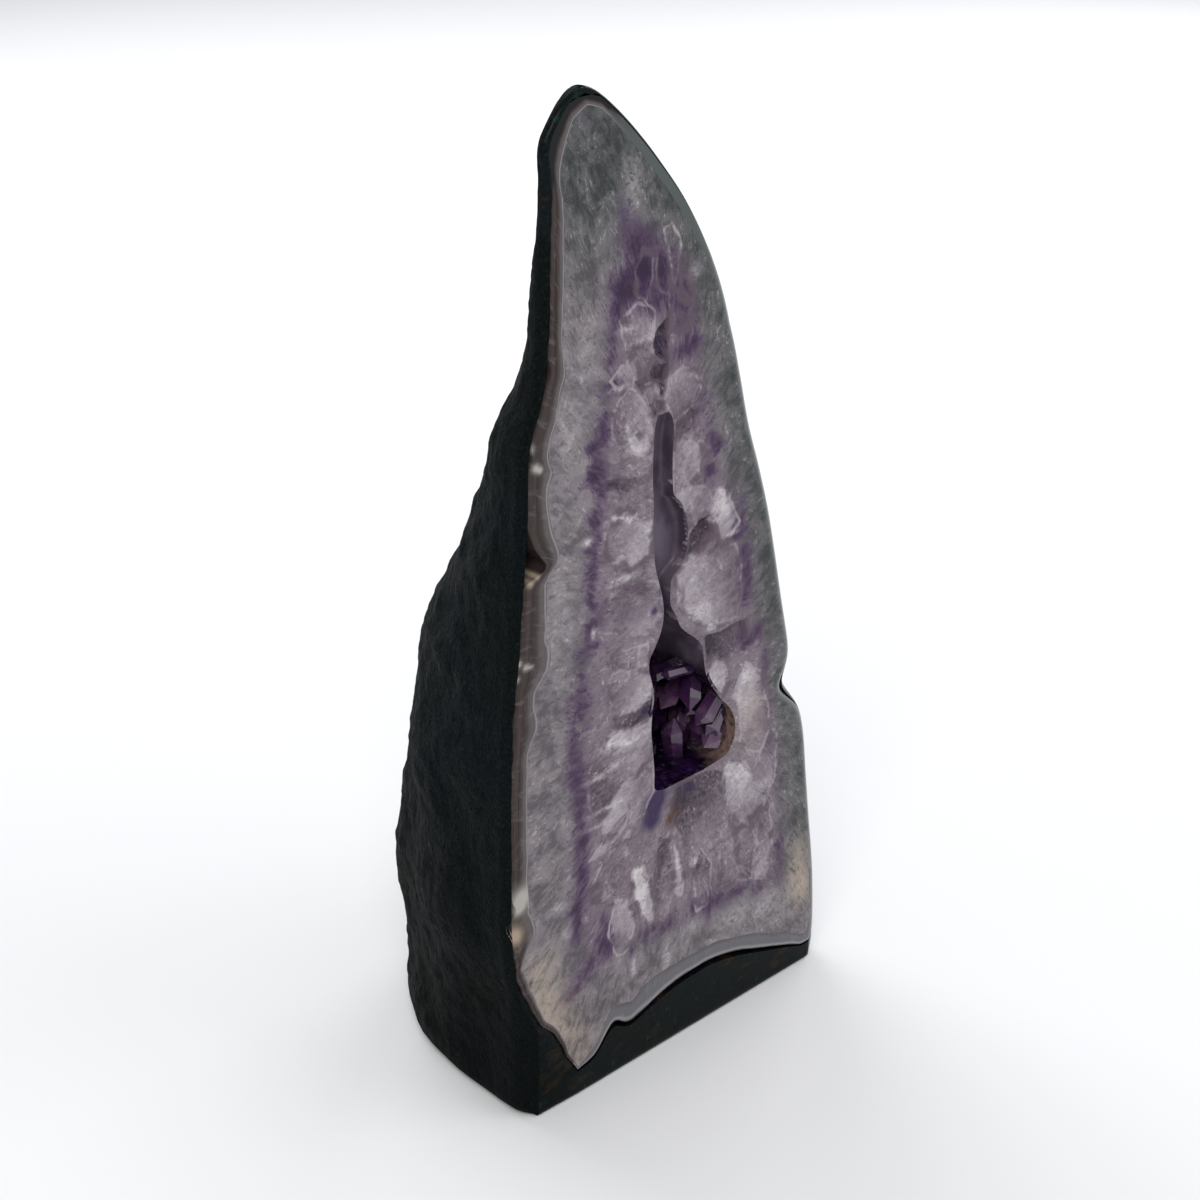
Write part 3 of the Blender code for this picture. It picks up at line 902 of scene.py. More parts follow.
@dataclass(frozen=True)
class AmethystFinish(Finish):
    """Glassy purple crystal, deep at the root and paler at the point; the deep field behind this is partly
    its purple and partly painted shade.
    """

    black: Colour = srgb(10, 3, 16)
    deep: Colour = srgb(36, 14, 52)
    mid: Colour = srgb(76, 44, 80)
    pale: Colour = srgb(128, 102, 122)
    smoke: Colour = srgb(84, 74, 87)
    smoke_dark: Colour = srgb(62, 52, 66)
    tea: Colour = srgb(112, 92, 84)

    def crystal(self) -> bpy.types.Material:
        """Material of the single crystals of the hollow.

        Returns:
            The material.
        """
        material, draw, shader = self.start()
        position = draw.object_mm()
        # The deep field is partly painted shade: near black on the hollow's left side and darker towards
        # each crystal's root.
        depth = draw.attribute("deep")
        veil = draw.noise(draw.scaled(position, 0.3, 0.3, 0.3), 1.0, 4.0, 0.6)
        shade = draw.around(veil, 0.5, depth)
        colour = draw.ramp(
            shade,
            ((0.0, self.pale), (0.3, self.mid), (0.62, self.deep), (1.0, self.black)),
        )
        draw.feed(shader.inputs["Base Color"], colour)
        draw.feed(shader.inputs["Roughness"], draw.math("MULTIPLY_ADD", veil, 0.14, 0.03))
        shader.inputs["IOR"].default_value = 1.55
        shader.inputs["Transmission Weight"].default_value = 0.35
        shader.inputs["Specular IOR Level"].default_value = 0.16
        coat = draw.times(draw.step(depth, 1.2, 0.6), 0.6)
        draw.feed(shader.inputs["Coat Weight"], coat)
        shader.inputs["Coat Roughness"].default_value = 0.04
        return material

    def crust(self) -> bpy.types.Material:
        """Material of the crust that the crystals grow from, smoky in the slot.

        Returns:
            The material.
        """
        material, draw, shader = self.start()
        position = draw.object_mm()
        slot = draw.attribute("slot")
        veil = draw.noise(draw.scaled(position, 0.09, 0.09, 0.07), 1.0, 4.0, 0.55)
        fine = draw.cells(draw.scaled(position, 0.4, 0.4, 0.4), 1.0)
        dark = draw.mix(draw.step(veil, 0.45, 0.7), self.black, self.deep)
        smoky = draw.mix(draw.step(veil, 0.36, 0.6), self.smoke_dark, self.smoke)
        colour = draw.mix(slot, dark, smoky)
        creamy = draw.times(draw.attribute("cream"), draw.step(fine, -0.2, 0.5))
        colour = draw.mix(creamy, colour, self.tea)
        draw.feed(shader.inputs["Base Color"], colour)
        rough = draw.math("MULTIPLY_ADD", slot, 0.16, 0.16)
        draw.feed(shader.inputs["Roughness"], rough)
        shader.inputs["Specular IOR Level"].default_value = 0.2
        lumps = draw.times(fine, draw.math("SUBTRACT", 1.0, slot))
        draw.feed(shader.inputs["Normal"], draw.bump(lumps, 0.6, 0.0015))
        shader.inputs["IOR"].default_value = 1.55
        return material


def finished_object(
    name: str, bm: bmesh.types.BMesh, nodes: tuple, materials: list, sharp: float = 40.0
) -> bpy.types.Object:
    """Object from a mesh in the frame's metres, dressed, riding and standing for its nodes.

    Args:
        name: Name of the piece.
        bm: Its mesh, which is freed.
        nodes: CAD nodes that it stands for.
        materials: Its materials, in slot order.
        sharp: Edges steeper than this many degrees stay sharp.

    Returns:
        The object.
    """
    mesh = bpy.data.meshes.new(name)
    bm.to_mesh(mesh)
    bm.free()
    for material in materials:
        mesh.materials.append(material)
    mesh.shade_smooth()
    mesh.set_sharp_from_angle(angle=math.radians(sharp))
    piece = bpy.data.objects.new(name, mesh)
    bpy.context.scene.collection.objects.link(piece)
    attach(piece, BODY)
    if nodes:
        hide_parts(*nodes)
    log.info("%s: %d faces", name, len(mesh.polygons))
    return piece


def wrapped_grid(
    columns: int, rows: int, ring_closed: bool, numbers: tuple = ()
) -> tuple[bmesh.types.BMesh, dict]:
    """Grid whose columns wrap round, with its seam welded.

    Args:
        columns: Faces round the wrap.
        rows: Faces up the grid.
        ring_closed: Whether the rows also wrap, which makes a torus.
        numbers: Names of the numbers that each vertex will carry.

    Returns:
        The mesh and its vertices by column and row.
    """
    bm = bmesh.new()
    bm.loops.layers.uv.new("growth")
    for name in numbers:
        bm.verts.layers.float.new(name)
    bmesh.ops.create_grid(bm, x_segments=columns, y_segments=rows, size=0.5)
    ring: dict = {}
    weld: dict = {}
    for vert in list(bm.verts):
        column = round((vert.co.x + 0.5) * columns) % columns
        row = round((vert.co.y + 0.5) * rows)
        row = row % rows if ring_closed else row
        if (column, row) in ring:
            weld[vert] = ring[column, row]
        else:
            ring[column, row] = vert
    bmesh.ops.weld_verts(bm, targetmap=weld)
    return bm, ring


def even_points(outline: list, count: int) -> list:
    """Points spread evenly along an open polyline, its first point included and its last not.

    Args:
        outline: The polyline's points.
        count: How many points to give.

    Returns:
        The points.
    """
    points = np.array(outline, float)
    steps = np.hypot(*np.diff(points, axis=0).T)
    travelled = np.concatenate([[0], np.cumsum(steps)])
    wanted = np.arange(count) / count * travelled[-1]
    xs = np.interp(wanted, travelled, points[:, 0])
    zs = np.interp(wanted, travelled, points[:, 1])
    return list(zip(xs.tolist(), zs.tolist()))


@dataclass
class FaceRings:
    """The polished face as rings: from the rock's edge inwards to the edge of the hollow."""

    hollow: tuple = (
        (88.0, 53, 70),
        (89.2, 49.2, 79.5),
        (91.5, 48.4, 82.4),
        (95, 48.5, 84),
        (100, 48, 83.8),
        (105, 47.5, 81.5),
        (110, 46.9, 77),
        (116.5, 47.4, 72.4),
        (121, 48, 70.2),
        (126, 47, 69.2),
        (130, 45.8, 68.6),
        (134, 46, 65.6),
        (136.5, 47.8, 62.4),
        (140, 50, 58.9),
        (144, 51.4, 57),
        (148.5, 51.6, 54.5),
        (153, 50.8, 54.4),
        (157, 49.6, 55),
        (160, 48.6, 59),
        (164, 47.7, 61),
        (168, 47.3, 61.5),
        (172, 47, 61.2),
        (176, 46.8, 60),
        (180, 47, 58),
        (182.5, 47, 55.4),
        (187, 46.7, 54.8),
        (195, 46.5, 54.6),
        (203, 47, 54.9),
        (206.5, 47.5, 54.2),
        (208.6, 48.6, 52.8),
    )
    agate_left: tuple = (
        (51, -6.9), (54, -6), (58, -4), (60.4, -1.5), (63.5, -0.7), (66, -1.4), (70, -3), (80, -3.6),
        (106, -3.5), (117, -3), (122.5, -2.5), (125, -1), (127.5, 0.9), (131, 1), (134.5, 0),
        (137.4, 0.1), (140.5, 1), (143.5, 4), (146, 5.8), (148.5, 6.3), (151, 6), (154.4, 4.5),
        (158, 4.7), (165, 5), (170.5, 5.1), (174, 6.5), (176, 9), (178, 10.1), (181, 9.4), (184.5, 7.9),
        (190, 6.5), (195, 5.8), (199, 5.8), (201.5, 7), (203, 8), (205.5, 6.6), (209.4, 6.3),
        (212.6, 7.1), (216, 8.8), (220, 9.8), (224, 10.7), (227, 12.1), (230, 12.8), (234, 12.1),
        (240, 11.4), (248, 12), (270, 12.4), (285, 12.4), (290, 13), (295, 14.1), (299.6, 16.4),
        (301.5, 18),
    )
    agate_foot: tuple = ((16, 0.8), (25, 3.5), (32, 5.2), (40, 8), (50, 7), (62, 6), (100, 5), (116, 4))
    edge_waves: tuple = ((231.0, 3.0, 1.1), (209.0, 2.5, 1.0), (72.5, 2.2, 1.6), (66.0, 3.4, -1.1))
    bite_depth: float = 8.2
    bite_top: float = 190.0
    bite_full: float = 176.0
    bite_foot: float = 173.2
    bite_step: float = 2.4
    tip: Point = (20.0, 303.3)
    agate_seen_above: float = 51.0
    tip_smoothed_above: float = 286.0
    tip_reach: int = 14
    columns_per_mm: float = 1.2
    columns: int = 0
    rim: list = field(default_factory=list)
    agate_inner: list = field(default_factory=list)
    edge: list = field(default_factory=list)
    along: list = field(default_factory=list)

    def build(self) -> None:
        """Work out the matching points of the rock's edge, the agate's edge and the hollow's."""
        rim_parts, edge_parts = self.rim_outline(), self.edge_outline()
        travelled = 0.0
        for rim_part, edge_part in zip(rim_parts, edge_parts):
            steps = np.hypot(*np.diff(np.array(rim_part, float), axis=0).T)
            count = max(round(float(steps.sum()) * self.columns_per_mm), 2)
            self.rim += even_points(rim_part, count)
            self.edge += even_points(edge_part, count)
            self.along += [travelled + float(steps.sum()) * i / count for i in range(count)]
            travelled += float(steps.sum())
        self.columns = len(self.rim)
        shares = [self.agate_share(number) for number in range(self.columns)]
        for number, (x0, z0) in enumerate(self.rim):
            reach = self.tip_reach if z0 > self.tip_smoothed_above else 1
            near = [shares[(number + step) % self.columns] for step in range(-reach, reach + 1)]
            share = sum(near) / len(near)
            x1, z1 = self.edge[number]
            self.agate_inner.append((x0 + (x1 - x0) * share, z0 + (z1 - z0) * share))

    def rim_outline(self) -> list:
        """Outline of the rock's edge on the face, in parts between its fixed places.

        Returns:
            The parts, each a list of points.
        """
        foot = FORM.layer_foot
        low_left, low_right = FORM.room_left(foot), FORM.room_right(foot)

        def foot_line(start: float, end: float) -> list:
            """Points of the wavy lower edge."""
            xs = np.linspace(start, end, 40)
            return [(float(x), foot + FORM.rise(float(x), foot)) for x in xs]

        def side(start: float, end: float, reader: Callable[[float], float]) -> list:
            """Points of a side wall.

            Args:
                start: Height of the first point.
                end: Height of the last one.
                reader: Gives x at a height.

            Returns:
                The points.
            """
            points = []
            for height in np.linspace(start, end, 90):
                x = reader(float(height))
                points.append((x, float(height) + FORM.rise(x, float(height))))
            return points

        top, tip = FORM.layer_top, self.tip
        left, right = self.left_edge, FORM.room_right
        return [
            foot_line(66.0, low_left),
            side(foot, 80.0, left),
            side(80.0, 240.0, left),
            side(240.0, top, left) + [tip],
            [tip] + side(top, 222.0, right),
            side(222.0, 118.0, right),
            side(118.0, 74.0, right),
            side(74.0, foot, right),
            foot_line(low_right, 66.0),
        ]

    def left_edge(self, height: float) -> float:
        """x of the rock's left edge on the face, with its waves and the bite into the agate.

        Args:
            height: Height to read at.

        Returns:
            The x there.
        """
        above = portion(height, self.bite_top, self.bite_full) ** 1.6
        below = portion(height, self.bite_foot, self.bite_foot + self.bite_step)
        bite = self.bite_depth * min(above, below)
        waves = sum(
            depth * math.exp(-(((height - middle) / half) ** 2)) for middle, half, depth in self.edge_waves
        )
        waves += 0.5 * noise.noise(Vector((3.0, height / 5.0, 1.0)))
        return FORM.room_left(height) + bite + waves

    def edge_outline(self) -> list:
        """Outline of the hollow on the face, in parts that match the rim's.

        Returns:
            The parts, each a list of points.
        """

        def side(start: float, end: float, column: int) -> list:
            """Points of one edge of the hollow."""
            heights = np.linspace(start, end, 60)
            return [(smooth_value(self.hollow, float(h), column), float(h)) for h in heights]

        low, high = self.hollow[0][0], self.hollow[-1][0]
        middle = ((self.hollow[0][1] + self.hollow[0][2]) / 2, low)
        top = ((self.hollow[-1][1] + self.hollow[-1][2]) / 2, high)
        return [
            [middle, (self.hollow[0][1], low)],
            side(low, 97.0, 1),
            side(97.0, 202.0, 1),
            side(202.0, high, 1) + [top],
            [top] + side(high, 201.0, 2),
            side(201.0, 112.0, 2),
            side(112.0, 96.0, 2),
            side(96.0, low, 2),
            [(self.hollow[0][2], low), middle],
        ]

    def agate_width(self, x: float, z: float) -> float:
        """Width of the agate at a place of the rim away from the left side.

        Args:
            x: Place across the face.
            z: Height of the place.

        Returns:
            The width in millimetres.
        """
        if z < 25:
            wave = noise.noise(Vector((x, 4.0, 2.0)) / 9.0)
            return max(smooth_value(self.agate_foot, x) + 0.9 * wave, 0.7)
        return 2.6 + 0.5 * noise.noise(Vector((x, z, 9.0)) / 7.0)

    def agate_share(self, number: int) -> float:
        """Share of the way from rim to hollow that the agate takes on one column.

        Args:
            number: Number of the column.

        Returns:
            The share, from 0 to 1.
        """
        (x0, z0), (x1, z1) = self.rim[number], self.edge[number]
        ax, az = self.rim[number - 3]
        bx, bz = self.rim[(number + 3) % self.columns]
        run = math.hypot(bx - ax, bz - az)
        across = abs((x1 - x0) * (bz - az) - (z1 - z0) * (bx - ax)) / run
        share = min(self.agate_width(x0, z0) / max(across, 12.0), 0.3)
        if x0 < 20 and z0 > 8 and number < self.columns * 0.6:
            fade = portion(z0, 8, 53)
            for _ in range(4):
                z = z0 + (z1 - z0) * share
                wanted = smooth_value(self.agate_left, z)
                measured = min(max((wanted - x0) / (x1 - x0), 0.012), 0.35)
                share = measured if z > self.agate_seen_above else 0.012 + 0.03 * fade
        return share


RINGS = FaceRings()


@dataclass
class RockShell:
    """The host rock: rough sides and back, rounded foot, polished foot strip and inner room."""

    outer_columns: int = 224
    rim_columns: int = 7
    inner_columns: int = 86
    row_step: float = 1.22
    fine_scale: float = 6.0
    fine_height: float = 0.75
    grit_scale: float = 2.4
    grit_height: float = 0.32
    polish_border: tuple = ((0, 0), (25, 0), (32, -2.6), (37, -4.9), (44, -8.0))
    border_top: float = 45.0
    polished_above: float = 268.0
    tip_round: float = 1.5

    def heights(self) -> list:
        """Heights of the rows, close together round the foot and at the tip.

        Returns:
            The heights, from the foot up.
        """
        turns = [math.radians(turn) for turn in range(0, 90, 11)]
        foot = [FORM.foot_level + FORM.foot_round * (1 - math.cos(turn)) for turn in turns]
        top = FORM.stations[-1][0]
        start = FORM.foot_level + FORM.foot_round
        count = round((top - 2.5 - start) / self.row_step)
        even = np.linspace(start, top - 2.5, count).tolist()
        return foot + even + [top - 1.7, top - 1.0, top - 0.45, top - 0.12, top]

    def outer_point(self, column: int, height: float) -> tuple[Vector, Polish]:
        """Point of the outside, from the right edge of the face round the back to the left.

        Args:
            column: Number of the column.
            height: Height of the row.

        Returns:
            The point, and whether it is rough or polished.
        """
        left, right, depth = FORM.walls(height)
        above_foot = height - FORM.foot_level
        low = max(FORM.foot_round - above_foot, 0.0)
        inset = FORM.foot_round - math.sqrt(FORM.foot_round**2 - low**2)
        left, right, depth = left + inset, right - inset, depth - inset
        top = FORM.stations[-1][0]
        blunt = max(self.tip_round - (top - height), 0.0)
        blunt = self.tip_round - math.sqrt(self.tip_round**2 - blunt**2)
        left, right, depth = left + blunt, right - blunt, depth - blunt
        round_left, round_right = FORM.rounds(height, depth)
        last = self.outer_columns - self.rim_columns
        if column <= self.rim_columns or column >= last:
            on_right = column <= self.rim_columns
            radius = round_right if on_right else round_left
            share = column if on_right else self.outer_columns - column
            start = math.asin(max(1 - FORM.rock_at_rim / radius, 0.0))
            angle = start + (math.pi / 2 - start) * share / self.rim_columns
            y = radius * (1 - math.cos(angle)) + blunt
            if on_right:
                x = right - radius * (1 - math.sin(angle)) - FORM.notch(height, y)
            else:
                x = left + radius * (1 - math.sin(angle))
                border = smooth_value(self.polish_border, height)
                if share == 0 and height < self.border_top and border > x:
                    return Vector((border, FORM.front(border, height), height)), Polish.POLISHED
                if 0 < share and height < self.polished_above:
                    return Vector((x, y, height)), Polish.ROUGH
            return Vector((x, y, height)), Polish.POLISHED
        turn = (column - self.rim_columns) / (last - self.rim_columns)
        front = round_right + (round_left - round_right) * turn
        x, y = rounded_back(turn, left, right, front, depth, FORM.back_roundness)
        if turn < 0.5:
            x -= FORM.notch(height, y)
        point = Vector((x, y, height))
        outward = (point - Vector(((left + right) / 2, depth * 0.35, height))).normalized()
        distance = y - front
        relief = FORM.relief(point, distance)
        fade = portion(distance, 0, 3)
        fine = noise.noise(point / self.fine_scale) - 0.3
        grit = noise.noise(point / self.grit_scale + Vector((5, 1, 7)))
        relief += fade * (self.fine_height * fine + self.grit_height * grit)
        relief *= min(above_foot / (2 * FORM.foot_round), 1.0)
        return point + outward * relief, Polish.ROUGH

    def inner_point(self, turn: float, height: float, below: bool) -> Vector:
        """Point of the foot strip, the tip or the wall of the room, from left to right.

        Args:
            turn: 0 at the left end, 1 at the right end.
            height: Height of the row.
            below: Whether the row is part of the foot strip.

        Returns:
            The point.
        """
        foot = FORM.layer_foot
        read = max(height, foot)
        left, right = FORM.room_left(read), FORM.room_right(read)
        depth = smooth_value(FORM.stations, read, 3)
        depth -= min(FORM.rock_at_back, FORM.rock_share * depth)
        x, y = rounded_back(1 - turn, left, right, 0.0, depth, 2.5)
        if below:
            share = (height - FORM.foot_level) / (foot - FORM.foot_level)
            lift = FORM.foot_level + (foot + FORM.rise(x, foot) - FORM.foot_level) * share
            return Vector((x, FORM.front(x, lift), lift))
        if height > FORM.layer_top:
            return Vector((x, FORM.front(x, height), height))
        z = height + FORM.rise(x, height)
        return Vector((x, max(y, FORM.front(x, z) + 0.9), z))

    def build(self, materials: list) -> bpy.types.Object:
        """Build the rock.

        Args:
            materials: The rough and the polished rock.

        Returns:
            The dressed object.
        """
        heights = self.heights()
        columns = self.outer_columns + 1 + self.inner_columns + 1
        bm, ring = wrapped_grid(columns, len(heights) - 1, False)
        polished = set()
        for (column, row), vert in ring.items():
            height = heights[row]
            if column <= self.outer_columns:
                point, polish = self.outer_point(column, height)
                if polish is Polish.POLISHED:
                    polished.add(vert)
            else:
                turn = (column - self.outer_columns - 1) / self.inner_columns
                point = self.inner_point(turn, height, height <= FORM.layer_foot)
                polished.add(vert)
            vert.co = FORM.place(point)
        ends = [edge for edge in bm.edges if edge.is_boundary]
        bmesh.ops.holes_fill(bm, edges=ends, sides=0)
        bmesh.ops.recalc_face_normals(bm, faces=bm.faces)
        for face in bm.faces:
            face.material_index = 1 if all(v in polished for v in face.verts) else 0
        return finished_object("rock_shell", bm, ("basalt_rind",), materials, 55.0)


@dataclass
class RingBody:
    """Closed ring between two outlines of the face: a dense front, and plain walls behind."""

    name: str
    node: str
    slot: str
    front_rows: int
    thinner: float

    def between(self, outer: list, inner: list, share: float) -> list:
        """Points part of the way from the outer outline to the inner one.

        Args:
            outer: The outer outline.
            inner: The inner outline.
            share: How far inwards, from 0 to 1.

        Returns:
            The points.
        """
        return [
            (x0 + (x1 - x0) * share, z0 + (z1 - z0) * share)
            for (x0, z0), (x1, z1) in zip(outer, inner)
        ]

    def shape(self, outer: list, inner: list, numbers: tuple) -> tuple:
        """Shape the ring.

        Args:
            outer: Outline that the ring starts from.
            inner: Outline that it ends at.
            numbers: Names of the numbers that each vertex will carry.

        Returns:
            The mesh, its vertices by column and row, and the rows' points on the face.
        """
        shares = [i / self.front_rows for i in range(self.front_rows + 1)]
        back = [1.0, 0.75, 0.5, 0.25, 0.0]
        bm, ring = wrapped_grid(len(outer), len(shares) + len(back), True, numbers)
        rows = [self.between(outer, inner, share) for share in shares + back]
        for (column, row), vert in ring.items():
            x, z = rows[row][column]
            if row < len(shares):
                y = FORM.front(x, z)
            else:
                y = max(FORM.room_depth(x, z, self.thinner), FORM.front(x, z) + 0.8)
            vert.co = Vector((x, y, z))
        return bm, ring, rows

    def close(
        self, bm: bmesh.types.BMesh, ring: dict, rows: list, along: list, fields: dict, materials: list
    ) -> bpy.types.Object:
        """Give the ring its growth map and fields, move it into the frame and dress it.

        Args:
            bm: The mesh, in the stone's own axes.
            ring: Its vertices by column and row.
            rows: The rows' points on the face.
            along: Distance along the rim of each column.
            fields: Named numbers of each vertex.
            materials: Materials of the piece.

        Returns:
            The dressed object.
        """
        seat: dict = {}
        for (column, row), vert in ring.items():
            x0, z0 = RINGS.rim[column]
            x, z = rows[row][column]
            seat[vert] = (along[column] / 100, math.hypot(x - x0, z - z0) / 100)
        bmesh.ops.recalc_face_normals(bm, faces=bm.faces)
        growth = bm.loops.layers.uv["growth"]
        length = along[-1] / 100
        for face in bm.faces:
            wraps = max(seat[v][0] for v in face.verts) - min(seat[v][0] for v in face.verts) > 1
            for loop in face.loops:
                u, v = seat[loop.vert]
                loop[growth].uv = (u + length if wraps and u < 1 else u, v)
        for name, values in fields.items():
            layer = bm.verts.layers.float[name]
            for vert in ring.values():
                vert[layer] = values[vert]
        for vert in bm.verts:
            vert.co = FORM.place(vert.co)
        return finished_object(self.name, bm, (self.node,), materials)


@dataclass
class AgateBand(RingBody):
    """The agate between rock and quartz."""

    # Cream spots: the two small ones beside the bite, at heights 173 and 174.4, are a painted glint; the
    # others are nodules.
    nodules_and_glint: tuple = (
        (-9.0, 64.0, 3.0), (-1.0, 173.0, 1.0), (1.5, 174.4, 0.9), (29.5, 10.5, 2.2),
    )
    chips: tuple = (
        (-6.0, 76.0, 3.2), (-7.5, 73.0, 2.2), (-5.5, 150.0, 0.9), (-3.0, 148.5, 0.9),
        (-6.5, 145.5, 0.9), (-1.2, 148.0, 0.6), (1.5, 206.0, 1.1), (3.0, 205.0, 0.9),
        (-0.5, 211.5, 1.2),
    )

    def glow(self, x: float, z: float, places: tuple, most: float) -> float:
        """Strength of the soft spots at a place."""
        near = [math.exp(-(((x - a) ** 2 + (z - b) ** 2) / size**2)) for a, b, size in places]
        return min(sum(near), most)

    def build(self, material: bpy.types.Material) -> bpy.types.Object:
        """Build the band, with the fields that its material reads.

        Args:
            material: The banded agate.

        Returns:
            The dressed object.
        """
        names = ("layer", "cool", "nodule_and_glint", "veiled", "dark", "chip")
        bm, ring, rows = self.shape(RINGS.rim, RINGS.agate_inner, names)
        fields: dict = {name: {} for name in names}
        for (column, row), vert in ring.items():
            x0, z0 = RINGS.rim[column]
            x, z = rows[row][column]
            foot = z0 < 24 and x0 > 14
            right = not foot and column > RINGS.columns * 0.5
            layer = min(row / self.front_rows, 1.0)
            fields["layer"][vert] = layer
            fields["cool"][vert] = 1.0 if foot else 0.0
            veiled = portion(z, 303, 289) if right else 0.0
            fields["veiled"][vert] = veiled
            top = portion(z, 272, 288)
            fields["dark"][vert] = top * (1.05 - 1.2 * layer) * (1 - veiled)
            fields["nodule_and_glint"][vert] = self.glow(x, z, self.nodules_and_glint, 0.85)
            fields["chip"][vert] = self.glow(x, z, self.chips, 0.8)
        return self.close(bm, ring, rows, RINGS.along, fields, [material])


@dataclass(frozen=True)
class GrownCrystal:
    """One crystal cut by the face: its tone, purple, pale edge, open depth and outline. The pale edge is a
    painted highlight along its boundary, and the low tone of a sunk one is partly painted shade in its
    pit.
    """

    tone: float
    outline: tuple
    violet: float = 0.0
    edge: float = 0.0
    sunk: float = 0.0


